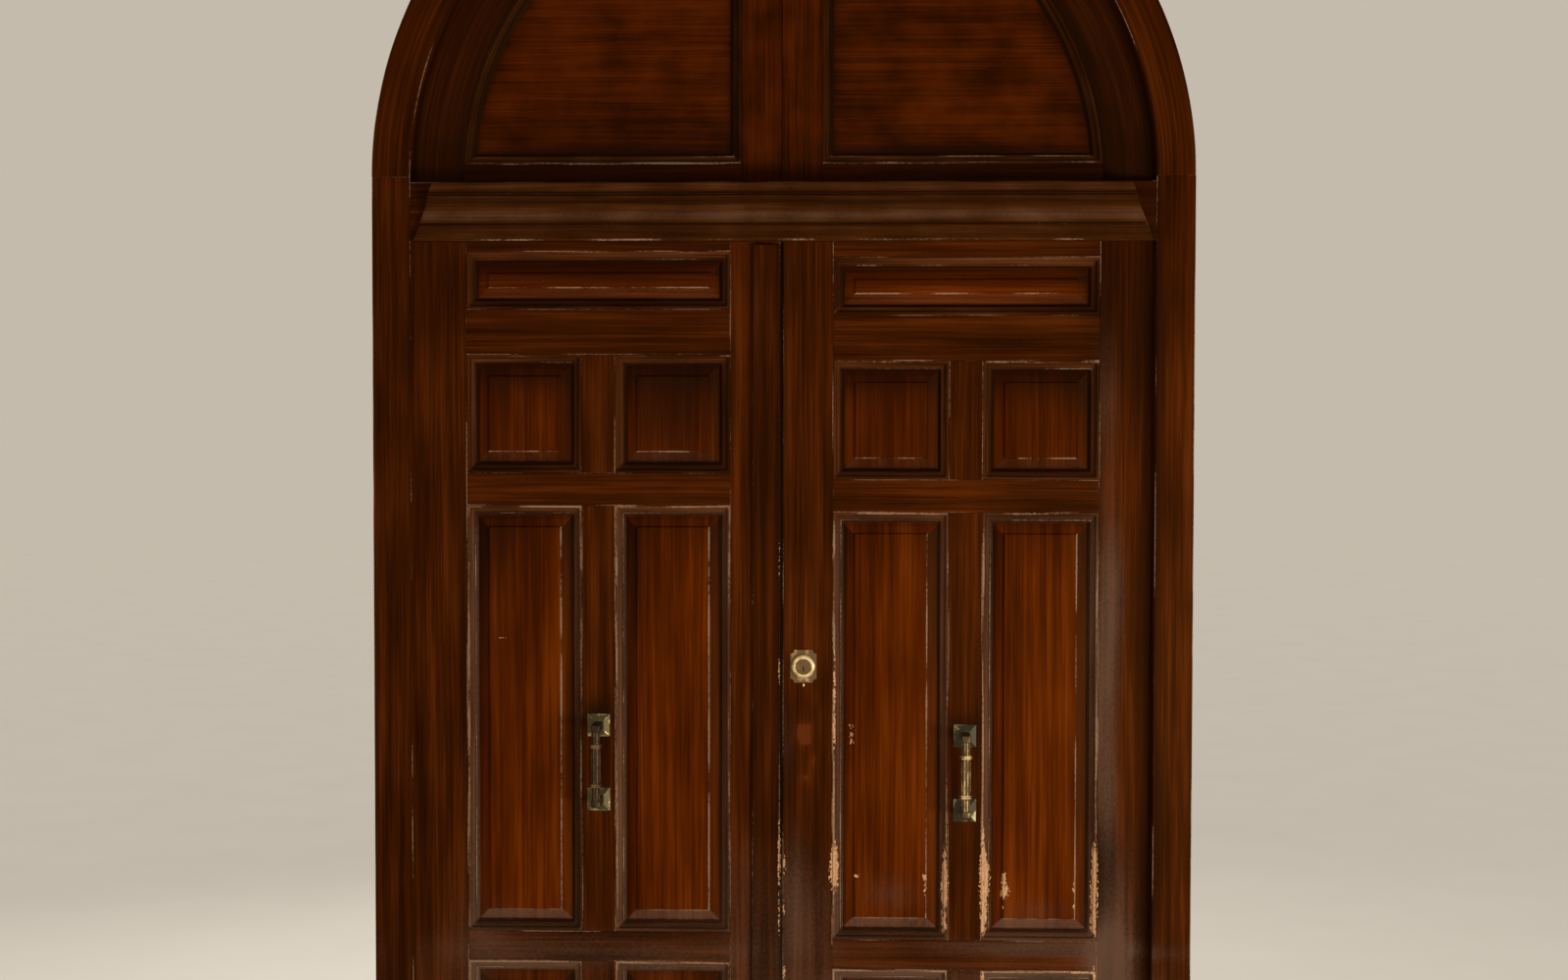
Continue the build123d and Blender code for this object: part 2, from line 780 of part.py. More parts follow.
def add_hinge_half(side, height, on_leaf):
    """Plate, tabs and bored knuckles of one half of a butt hinge."""
    edge = x_leaf if on_leaf else x_rebate
    back = edge - hinge_plate if on_leaf else edge + hinge_plate
    tab_end = pivot_y - (pin_radius + knuckle_radius) / 2
    with BuildSketch(Plane.XY.offset(height - hinge_height / 2)) as plate:
        rectangle_between(side * edge, side * back, y_back - hinge_plate_width, y_back - knuckle_clear)
    extrude(plate.sketch, amount=hinge_height)
    for low, high in knuckle_spans(height, on_leaf):
        with BuildSketch(Plane.XY.offset(low)) as knuckle:
            rectangle_between(side * edge, side * back, y_back - 2 * knuckle_clear, tab_end)
            with Locations((side * pivot_x, pivot_y)):
                Circle(knuckle_radius)
                Circle(pin_radius + pin_play, mode=Mode.SUBTRACT)
        extrude(knuckle.sketch, amount=high - low)


def make_leaf_hinge_halves(side):
    """The hinge halves screwed to one leaf's edge."""
    with BuildPart() as halves:
        for height in hinge_centres():
            add_hinge_half(side, height, on_leaf=True)
    save(halves.part, f"{side_name(side)}_leaf_hinge_halves")


def make_frame_hinge_halves():
    """The hinge halves screwed to the jambs."""
    with BuildPart() as halves:
        for side in (LEFT, RIGHT):
            for height in hinge_centres():
                add_hinge_half(side, height, on_leaf=False)
    save(halves.part, "frame_hinge_halves")


def make_hinge_pins():
    """Hinge pins with a half-round head at each end, turned to one half profile."""
    shaft = hinge_height / 2
    head = shaft + pin_head
    bulge = pin_head / sqrt(2)
    with BuildPart() as pins:
        for side in (LEFT, RIGHT):
            for height in hinge_centres():
                turning_plane = Plane(
                    origin=(side * pivot_x, pivot_y, height), x_dir=(1, 0, 0), z_dir=(0, -1, 0),
                )
                with BuildSketch(turning_plane):
                    with BuildLine():
                        Polyline((0, -head), (0, head))
                        ThreePointArc((0, head), (bulge, shaft + bulge), (pin_head, shaft))
                        Polyline(
                            (pin_head, shaft), (pin_radius, shaft), (pin_radius, -shaft),
                            (pin_head, -shaft),
                        )
                        ThreePointArc((pin_head, -shaft), (bulge, -shaft - bulge), (0, -head))
                    make_face()
                revolve(axis=Axis((side * pivot_x, pivot_y, height), (0, 0, 1)))
    save(pins.part, "hinge_pins")


# Pull handles

def pull_centre(side):
    """Middle of a leaf's pull handle."""
    drop = right_pull_drop if side == RIGHT else 0.0
    return side * (x_muntin + x_outer) / 2, pull_height - drop


def make_roses(side):
    """Two square roses under the handle's posts, each a low pyramid with a hole for its post."""
    x, z = pull_centre(side)
    with BuildPart() as roses:
        for end in (-1, 1):
            place = (x, z + end * pull_centres / 2)
            with BuildSketch(across(y_leaf)):
                with Locations(place):
                    Rectangle(rose_size, rose_size)
            extrude(amount=rose_base)
            with BuildSketch(across(y_leaf - rose_base)):
                with Locations(place):
                    Rectangle(rose_size, rose_size)
            with BuildSketch(across(y_leaf - rose_base - rose_rise)):
                with Locations(place):
                    Rectangle(rose_top, rose_top)
            loft()
            with BuildSketch(across(y_leaf)):
                with Locations(place):
                    Rectangle(post_width + 2 * post_play, post_height + 2 * post_play)
            extrude(amount=rose_base + rose_rise, mode=Mode.SUBTRACT)
    save(roses.part, f"{side_name(side)}_pull_roses")


def make_pull_handle(side):
    """Pull handle: two posts, an eight-sided grip between two collars, and round necks."""
    x, z = pull_centre(side)
    grip_y = y_leaf - grip_standoff
    half_posts = pull_centres / 2
    half_collars = collar_spacing / 2
    with BuildPart() as handle:
        with BuildSketch(across(y_leaf)):
            for end in (-1, 1):
                with Locations((x, z + end * half_posts)):
                    Rectangle(post_width, post_height)
        extrude(amount=grip_standoff + post_width / 2)
        for end in (-1, 1):
            with BuildSketch(Plane.XY.offset(z + end * half_collars)):
                with Locations((x, grip_y)):
                    Circle(neck_radius)
            extrude(amount=end * (half_posts - half_collars))
            with BuildSketch(Plane.XY.offset(z + end * half_collars - collar_height / 2)):
                with Locations((x, grip_y)):
                    Circle(collar_radius)
            extrude(amount=collar_height)
        with BuildSketch(Plane.XY.offset(z - half_collars)):
            with Locations((x, grip_y)):
                RegularPolygon(
                    radius=grip_width / 2, side_count=grip_sides, major_radius=False,
                    rotation=180 / grip_sides,
                )
        extrude(amount=collar_spacing)
        collar_rims = handle.edges().filter_by(GeomType.CIRCLE).filter_by(
            lambda edge: abs(edge.radius - collar_radius) < 0.01
        )
        fillet(collar_rims, radius=collar_rounding)
    save(handle.part, f"{side_name(side)}_pull_handle")


# Lock

def make_back_plate():
    """Thin brass plate under the cylinder's ring, with notched corners."""
    with BuildPart() as plate:
        with BuildSketch(across(y_leaf)):
            with Locations((lock_x, lock_height)):
                Rectangle(back_plate_width, back_plate_height)
                with GridLocations(back_plate_width, back_plate_height, 2, 2):
                    Circle(back_plate_notch, mode=Mode.SUBTRACT)
                Circle(cylinder_radius + cylinder_play, mode=Mode.SUBTRACT)
        extrude(amount=back_plate_thickness)
    save(plate.part, "lock_back_plate")


def add_collar(x, z, face, out, radius, height, bore, lip):
    """Domed ring turned about an axis across the leaf, standing on a face."""
    with BuildSketch(Plane(origin=(x, face, z), x_dir=(1, 0, 0), z_dir=(0, 0, 1))) as profile:
        with BuildLine():
            Polyline((bore, 0), (radius, 0), (radius, out * height * dome_rim))
            ThreePointArc(
                (radius, out * height * dome_rim),
                (bore + lip + (radius - bore - lip) * dome_shoulder[0], out * height * dome_shoulder[1]),
                (bore + lip, out * height),
            )
            Polyline((bore + lip, out * height), (bore, out * height), (bore, 0))
        make_face()
    revolve(profile.sketch, axis=Axis((x, face, z), (0, 1, 0)))


def make_lock_rings():
    """Domed ring round the cylinder outside, and the thumb-turn's rose inside."""
    with BuildPart() as rings:
        add_collar(
            lock_x, lock_height, y_leaf - back_plate_thickness, -1, collar_ring_radius,
            collar_ring_height, cylinder_radius + cylinder_play, collar_ring_lip,
        )
        add_collar(
            lock_x, plug_z, y_back, 1, inner_rose_radius, inner_rose_thickness,
            turn_spindle_radius + plug_play, collar_ring_lip,
        )
    save(rings.part, "lock_rings")


def make_cylinder():
    """Lock cylinder from the lock case to just inside its ring, bored for the plug."""
    front = y_leaf - cylinder_proud
    back = y_middle - lock_case_thickness / 2
    with BuildPart() as cylinder:
        with BuildSketch(across(back)):
            with Locations((lock_x, lock_height)):
                Circle(cylinder_radius)
            with Locations((lock_x, plug_z)):
                Circle(plug_radius + plug_play, mode=Mode.SUBTRACT)
        extrude(amount=back - front)
    save(cylinder.part, "lock_cylinder")


def make_plug():
    """Plug with its keyway, and the flat tailpiece that reaches through the case."""
    front = y_leaf - cylinder_proud - plug_proud
    back = y_middle - lock_case_thickness / 2
    tail_end = y_back - inner_rose_thickness
    with BuildPart() as plug:
        with BuildSketch(across(back)):
            with Locations((lock_x, plug_z)):
                Circle(plug_radius)
        extrude(amount=back - front)
        with BuildSketch(across(tail_end)):
            with Locations((lock_x, plug_z)):
                Rectangle(tailpiece_thickness, tailpiece_width)
        extrude(amount=tail_end - back)
        with BuildSketch(across(front)):
            with Locations((lock_x, plug_z)):
                Rectangle(keyway_width, keyway_depth)
        extrude(amount=-(back - front) / 2, mode=Mode.SUBTRACT)
    save(plug.part, "lock_plug")


def make_thumb_turn():
    """Inside thumb-turn: a spindle slotted over the tailpiece, and an oval grip."""
    inner = y_middle + lock_case_thickness / 2 + plug_play
    grip_face = y_back + inner_rose_thickness + turn_standoff
    with BuildPart() as turn:
        with BuildSketch(across(grip_face)):
            with Locations((lock_x, plug_z)):
                Circle(turn_spindle_radius)
        extrude(amount=grip_face - inner)
        with BuildSketch(across(grip_face + turn_height)):
            with Locations((lock_x, plug_z)):
                SlotOverall(turn_length, turn_thickness, rotation=90)
        extrude(amount=turn_height)
        with BuildSketch(across(y_back)):
            with Locations((lock_x, plug_z)):
                Rectangle(tailpiece_thickness + 2 * plug_play, tailpiece_width + 2 * plug_play)
        extrude(amount=y_back - inner, mode=Mode.SUBTRACT)
    save(turn.part, "thumb_turn")


def make_lock_case():
    """Lock case with its face plate, a channel for the bolt and a hole for the tailpiece."""
    low = lock_height - lock_case_below
    high = lock_height + lock_case_above
    with BuildPart() as case:
        with BuildSketch(Plane.YZ.offset(x_meeting)):
            rectangle_between(
                y_middle - lock_case_thickness / 2, y_middle + lock_case_thickness / 2, low, high,
            )
        extrude(amount=face_plate_thickness + lock_case_depth)
        with BuildSketch(Plane.YZ.offset(x_meeting)):
            rectangle_between(
                y_middle - face_plate_width / 2, y_middle + face_plate_width / 2,
                low - face_plate_overhang, high + face_plate_overhang,
            )
        extrude(amount=face_plate_thickness)
        with BuildSketch(Plane.YZ.offset(x_meeting)):
            with Locations((y_middle, bolt_z)):
                Rectangle(bolt_thickness + 2 * bolt_play, bolt_height + 2 * bolt_play)
        extrude(amount=bolt_set_back + bolt_length + bolt_play, mode=Mode.SUBTRACT)
        with BuildSketch(across(y_back)):
            with Locations((lock_x, plug_z)):
                Circle(tailpiece_width / 2 + tailpiece_clear)
        extrude(amount=leaf_thickness, mode=Mode.SUBTRACT)
    save(case.part, "lock_case")


def make_lock_bolt():
    """Rectangular bolt, drawn back into the case at rest."""
    with BuildPart() as bolt:
        with BuildSketch(Plane.YZ.offset(x_meeting + bolt_set_back)):
            with Locations((y_middle, bolt_z)):
                Rectangle(bolt_thickness, bolt_height)
        extrude(amount=bolt_length)
        nose = bolt.faces().sort_by(Axis.X)[0]
        chamfer(nose.edges(), length=arris / 2)
    save(bolt.part, "lock_bolt")


def make_strike_plate():
    """Strike plate in the left leaf's edge, with the hole that takes the bolt."""
    with BuildPart() as strike:
        with BuildSketch(Plane.YZ.offset(-x_meeting)):
            with Locations((y_middle, bolt_z)):
                Rectangle(strike_width, strike_height)
                Rectangle(
                    bolt_thickness + 2 * strike_play, bolt_height + 2 * strike_play,
                    mode=Mode.SUBTRACT,
                )
        extrude(amount=-strike_thickness)
    save(strike.part, "strike_plate")


# Sliding bolts

slide_x = -(x_meeting + meeting_stile / 2)
rod_y = y_back + slide_plate_thickness + rod_lift + rod_radius


def slide_ends():
    """Leaf end, direction of throw and keeper height of the top and the bottom bolt."""
    return {
        "top": (leaf_top, 1, transom_bottom + rebate_lap + keeper_set),
        "bottom": (leaf_bottom, -1, threshold_height - keeper_set),
    }


def add_rod_guide(centre, height):
    """Bridge round the rod, bored with a running clearance."""
    with BuildSketch(Plane.XY.offset(centre - height / 2)) as bridge:
        rectangle_between(
            slide_x - guide_width / 2, slide_x + guide_width / 2,
            y_back + slide_plate_thickness, rod_y,
        )
        with Locations((slide_x, rod_y)):
            Circle(rod_radius + guide_wall)
            Circle(rod_radius + rod_play, mode=Mode.SUBTRACT)
    extrude(bridge.sketch, amount=height)


def add_slide_plate(centre, height):
    """Flat plate of a bolt or keeper on the inner face."""
    with BuildSketch(across(y_back + slide_plate_thickness)) as plate:
        with Locations((slide_x, centre)):
            Rectangle(slide_plate_width, height)
    extrude(plate.sketch, amount=slide_plate_thickness)


def make_slide_plates():
    """Plates of the two sliding bolts, each with two guides for its rod."""
    with BuildPart() as plates:
        for end, way, _ in slide_ends().values():
            near = end - way * slide_plate_set
            add_slide_plate(near - way * slide_plate_length / 2, slide_plate_length)
            for inset in (guide_inset, slide_plate_length - guide_inset):
                add_rod_guide(near - way * inset, guide_height)
    save(plates.part, "slide_bolt_plates")


def make_slide_keepers():
    """Keepers on the transom and the threshold that take the thrown rods."""
    with BuildPart() as keepers:
        for _, _, centre in slide_ends().values():
            add_slide_plate(centre, keeper_plate_height)
            add_rod_guide(centre, keeper_height)
    save(keepers.part, "slide_bolt_keepers")


def make_slide_rod(name):
    """Round rod of a sliding bolt, with its knob between the guides, drawn back at rest."""
    end, way, _ = slide_ends()[name]
    tip = end - way * rod_set_back
    knob_z = end - way * (slide_plate_set + slide_plate_length - guide_inset - guide_height)
    with BuildPart() as rod:
        with BuildSketch(Plane.XY.offset(tip)):
            with Locations((slide_x, rod_y)):
                Circle(rod_radius)
        extrude(amount=-way * rod_length)
        chamfer(rod.edges().filter_by(GeomType.CIRCLE).sort_by(Axis.Z), length=arris)
        with BuildSketch(across(rod_y)):
            with Locations((slide_x, knob_z)):
                Circle(knob_radius)
        extrude(amount=-(rod_radius + knob_length))
        fillet(rod.faces().sort_by(Axis.Y)[-1].edges(), radius=knob_rounding)
    save(rod.part, f"{name}_slide_rod")


for which in (LEFT, RIGHT):
    make_leaf(which)
    make_jamb(which)
    make_arch_head(which)
    make_tympanum_stile(which)
    make_curved_rail(which)
    make_tympanum_panel(which)
    make_leaf_hinge_halves(which)
    make_roses(which)
    make_pull_handle(which)

make_astragal()
make_threshold()
make_transom()
make_cornice()
make_tympanum_bottom_rails()
make_tympanum_mouldings()
make_frame_hinge_halves()
make_hinge_pins()
make_back_plate()
make_lock_rings()
make_cylinder()
make_plug()
make_thumb_turn()
make_lock_case()
make_lock_bolt()
make_strike_plate()
make_slide_plates()
make_slide_keepers()
make_slide_rod("top")
make_slide_rod("bottom")
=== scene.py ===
"""Dresses the arched double door: varnished timbers, raised panels, mouldings and old brass.

Metres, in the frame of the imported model: X runs across the doorway, +Y is indoors and +Z is up.
Every timber, panel and moulding is a surface worked out as arrays and laid over its CAD node.
"""

import logging
import math
from dataclasses import dataclass, field
from enum import Enum, IntEnum
from typing import Callable, Sequence, Union

import bpy
import numpy as np
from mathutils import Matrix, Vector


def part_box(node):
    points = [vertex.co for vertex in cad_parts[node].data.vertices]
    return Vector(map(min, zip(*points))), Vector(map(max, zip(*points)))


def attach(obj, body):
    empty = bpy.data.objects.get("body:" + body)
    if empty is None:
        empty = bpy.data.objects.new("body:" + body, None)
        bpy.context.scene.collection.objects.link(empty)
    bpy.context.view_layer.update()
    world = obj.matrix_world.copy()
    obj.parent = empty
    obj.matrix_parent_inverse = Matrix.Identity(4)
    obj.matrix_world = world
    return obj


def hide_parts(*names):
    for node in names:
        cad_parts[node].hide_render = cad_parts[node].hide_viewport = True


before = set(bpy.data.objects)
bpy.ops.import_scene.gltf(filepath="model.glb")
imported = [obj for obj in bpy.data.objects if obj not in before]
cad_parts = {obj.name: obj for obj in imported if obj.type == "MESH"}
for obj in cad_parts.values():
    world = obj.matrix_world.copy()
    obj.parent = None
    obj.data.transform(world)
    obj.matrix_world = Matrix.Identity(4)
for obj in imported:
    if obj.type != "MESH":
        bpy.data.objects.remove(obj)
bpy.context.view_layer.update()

log = logging.getLogger("door")
Array = np.ndarray
Colour = tuple[float, float, float, float]
Corner = Callable[[Array], tuple[Array, Array]]
Layers = dict[str, Array]
Material = bpy.types.Material
Opening = tuple[float, float, float, float]
Outline = Sequence[tuple[float, float]]
Reach = Union[float, Array]
Scale = tuple[float, float, float]

MM = 0.001
MM_IN_METRE = 1000
LAYERS = ("wear", "bare", "haze", "soot")
GRAIN_SPREAD = 7.0
CHIP_DEPTH = 0.5 * MM
SLIP = 0.1 * MM


class Side(Enum):
    """The two halves of the doorway, as seen from outdoors."""

    LEFT = -1
    RIGHT = 1

    @property
    def word(self) -> str:
        """The side's word in node names."""
        return self.name.lower()


class Run(Enum):
    """The way a timber's grain runs."""

    UP = "up"
    ACROSS = "across"
    ROUND = "round"


class Seed(IntEnum):
    """First seeds of the frame, the tympanum and the near-black gap strips of painted shade; a leaf counts
    its own.
    """

    JAMB = 500
    HEAD = 510
    THRESHOLD = 520
    TRANSOM = 530
    CORNICE = 540
    ASTRAGAL = 550
    STILE = 600
    TONGUE = 605
    CURVED_RAIL = 610
    BOTTOM_RAIL = 620
    FLAT_PANEL = 630
    FLAT_GRAIN = 640
    TYMPANUM_MOULDING = 650
    BRUSH = 700


def linear(red: float, green: float, blue: float) -> Colour:
    """Turn a display colour of 0 to 255 into Blender's linear colour.

    Args:
        red, green, blue: display values.

    Returns:
        The linear colour with full alpha.
    """
    shares = [value / 255.0 for value in (red, green, blue)]
    low, knee, toe, power = 12.92, 0.04045, 0.055, 2.4
    made = [s / low if s <= knee else ((s + toe) / (1 + toe)) ** power for s in shares]
    return (*made, 1.0)


def corners_of(node: str) -> tuple[Array, Array]:
    """Lowest and highest corner of a CAD node as arrays."""
    low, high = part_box(node)
    return np.array(low), np.array(high)


# Marks of age where the door shows them, with painted light and shade


@dataclass(frozen=True)
class Mark:
    """A soft-edged oval patch on the outdoor face: its middle, half sizes and strength."""

    x: float
    z: float
    half_width: float
    half_height: float
    strength: float = 1.0

    def at(self, x: Array, z: Array) -> Array:
        """Strength at each point: it falls as exp(-d^2), where d is the oval distance."""
        across, up = (x - self.x) / self.half_width, (z - self.z) / self.half_height
        return self.strength * np.exp(-(across**2 + up**2))


def marks_of(*rows: Sequence[float]) -> tuple[Mark, ...]:
    """Marks from rows of x, z, half width and half height in mm, and a strength where it isn't 1."""
    return tuple(Mark(*(size / MM_IN_METRE for size in row[:4]), *row[4:]) for row in rows)


BARE = marks_of(
    # Right leaf: the arris of the meeting stile
    (97.5, 1179, 2.6, 22, 0.55), (96.5, 1098, 3, 26, 0.6), (97, 1240, 2, 16, 0.4), (97, 868, 5, 30),
    (97.5, 838, 7.5, 30, 1.2), (96, 965, 2.2, 30, 0.5),
    # The right side of the first tall panel
    (300, 850, 4, 40), (300.5, 805, 6, 34, 1.2), (299.5, 745, 4.5, 18), (301.5, 690, 3, 12, 0.7),
    # The left side of the second tall panel, and its bevel
    (373.5, 834, 8.5, 26, 1.2), (372.5, 795, 7, 36, 1.1), (370.5, 870, 4.8, 30), (371.5, 748, 5, 22),
    (370, 910, 2.2, 18, 0.6), (410.5, 805, 7, 12, 1.2), (408.5, 830, 4, 12), (407, 777, 2.2, 5, 0.8),
    # Its right side
    (537, 813, 2.4, 9, 0.9), (537, 776, 2.2, 7, 0.8), (574.5, 860, 5, 36, 1.1),
    (573.5, 800, 6.2, 50, 1.1), (573.5, 745, 5, 16),
    # Small chips on the first tall panel
    (138, 832, 7, 3, 0.9), (264, 830, 4.4, 7), (265, 805, 2.4, 14, 0.8),
    # The meeting edge and the lower panels
    (5, 850, 3.5, 16, 0.8), (4.5, 770, 2.5, 16, 0.6), (4.5, 650, 4, 18, 0.8), (370, 640, 3, 26, 0.9),
    (575, 640, 3, 26, 0.9), (545, 657, 30, 2.4, 0.8),
    # Scuffs on the first tall panel and its arris
    (129, 1100, 11, 45, 0.27), (129, 1085, 6, 18, 0.14), (96.8, 1150, 2.6, 85, 0.45),
    # The meeting edge again, and one scratch on the left leaf
    (-3.5, 1210, 2.2, 30, 0.6), (-514, 1268, 14, 1, 0.42), (-3.5, 880, 2.6, 60, 0.85),
    (-3.5, 760, 2.2, 40, 0.6), (-3.5, 1420, 1.6, 60, 0.4),
)
HAZE = marks_of(
    # Over the cornice
    (-300, 2140, 260, 6, 0.3), (300, 2140, 260, 6, 0.3),
    # The right hinge stile
    (600, 1360, 28, 140, 0.66), (590, 1170, 24, 150, 0.75), (596, 980, 20, 90, 0.65),
    (600, 680, 36, 60, 0.95), (606, 560, 46, 80, 0.8), (646, 850, 20, 300, 0.12),
    (590, 1700, 30, 160, 0.35),
    # The right meeting stile
    (20, 800, 20, 120, 0.35), (12, 1080, 12, 80, 0.3),
    # The lock rails, the lower panels and the left leaf
    (480, 700, 240, 14, 0.5), (300, 640, 300, 20, 0.28), (480, 770, 70, 30, 0.22),
    (-340, 690, 280, 30, 0.35), (-60, 780, 50, 160, 0.25), (-560, 720, 60, 120, 0.2),
    (200, 800, 60, 40, 0.3), (-45, 1900, 6, 100, 0.2),
    # Low on the right leaf's stiles
    (612, 760, 30, 130, 0.45), (52, 770, 50, 130, 0.38),
)
SOOT_AND_SHADOW = marks_of(
    # Dark clouds on the leaves
    (620, 1850, 80, 200, 0.65), (-200, 1682, 100, 100, 0.35), (-330, 1930, 250, 30, 0.2),
    (40, 2350, 34, 200, 0.45), (-515, 1390, 40, 160, 0.35), (-262, 1330, 20, 200, 0.35),
    (-220, 830, 60, 50, 0.3), (215, 1200, 40, 70, 0.3), (480, 1080, 50, 90, 0.2),
    # Painted shadow of the stone pier: the first mark below, a dark strip down the right leaf's outer edge
    (668, 1100, 22, 1000, 0.55), (620, 860, 30, 60, 0.35), (-590, 1250, 10, 300, 0.3), (592, 860, 18, 90),
    (588, 760, 12, 40, 0.8),
    # Round the pull handles and the lock
    (-336, 1125, 30, 30, 0.9), (336, 1112, 30, 26, 0.8), (-336, 1045, 16, 50, 0.4),
    (336, 1030, 16, 50, 0.4), (14, 1040, 16, 120, 0.5), (75, 1180, 16, 40, 0.45), (40, 1150, 30, 12, 0.2),
    # Rubbed pale below the lock
    (35, 1104, 10, 13, -1.2), (48, 1104, 11, 12, -1.2), (36, 1085, 12, 13, -1.2), (49, 1085, 9, 13, -1.2),
    (58, 1045, 8, 18, -0.9), (45, 1012, 14, 12, -0.9), (62, 1160, 6, 14, -0.7),
    # Clouds on the tympanum
    (-300, 2160, 240, 28, 0.6), (-300, 2225, 20, 26, 0.45), (-248, 2228, 12, 12, 0.4),
    (-210, 2310, 30, 20, 0.4), (-500, 2220, 30, 30, 0.3), (-150, 2210, 50, 20, 0.3),
    (470, 2290, 50, 20, 0.3), (520, 2220, 60, 30, 0.3), (300, 2160, 240, 28, 0.55),
    (200, 2245, 70, 30, 0.3), (340, 2235, 30, 10, 0.35), (400, 2320, 200, 60, 0.25),
    # Muntins rubbed pale
    (-340, 1320, 18, 120, -0.4), (-330, 1450, 14, 60, -0.3), (345, 1690, 18, 90, -0.4),
    (340, 1330, 22, 190, -0.45),
)
CORNICE_DUST_AND_LIGHT = marks_of(
    # Dust on the crown's fillet, then painted light along the lower part of the cove
    (100, 2089, 1200, 6, 0.25), (100, 2040, 1600, 9, 0.5),
)
CORNICE_SHADE = marks_of(
    # Painted shade under the crown, in the cove's upper part, on the fascia and at the cove's foot
    (0, 2077, 6000, 3, 0.9), (0, 2063, 6000, 10, 0.65), (0, 2009, 6000, 14, 0.35),
    (0, 2024, 6000, 3, 0.9),
)


def marked(marks: Sequence[Mark], x: Array, z: Array) -> Array:
    """Add up the strengths of marks, kept between -1 and 1.

    Args:
        marks: the marks of one kind.
        x, z: points of the outdoor face.

    Returns:
        The strength at each point.
    """
    total = np.zeros_like(x)
    for mark in marks:
        total += mark.at(x, z)
    return np.clip(total, -1.0, 1.0)


def low_dust(z: Array) -> Array:
    """Dust that thickens towards the ground: nothing above 1.05 m, a third at 0.55 m."""
    share = np.clip((1.05 - z) / 0.5, 0, 1)
    return 0.32 * share * share


def grain_offset(seed: int) -> Array:
    """Fixed place of one timber in the pattern of the wood."""
    return np.random.default_rng(seed).random(3) * GRAIN_SPREAD


class Noise:
    """Smooth noise on a repeating square lattice of seeded random numbers."""

    def __init__(self, seed: int, size: int = 128) -> None:
        """Draw the lattice from the seed."""
        self.table = np.random.default_rng(seed).random((size, size))

    def at(self, u: Array, v: Array) -> Array:
        """Read the noise: a cell blends its four corners by t * t * (3 - 2 * t) each way.

        Args:
            u, v: places on the lattice, in cells.

        Returns:
            Values from 0 to 1.
        """
        u, v = np.broadcast_arrays(np.asarray(u, float), np.asarray(v, float))
        i, j = np.floor(u).astype(int), np.floor(v).astype(int)
        a, b = u - i, v - j
        a, b = a * a * (3 - 2 * a), b * b * (3 - 2 * b)
        size = len(self.table)
        i, j, i_next, j_next = i % size, j % size, (i + 1) % size, (j + 1) % size
        low = self.table[i, j] * (1 - a) + self.table[i_next, j] * a
        high = self.table[i, j_next] * (1 - a) + self.table[i_next, j_next] * a
        return low * (1 - b) + high * b


# Meshes


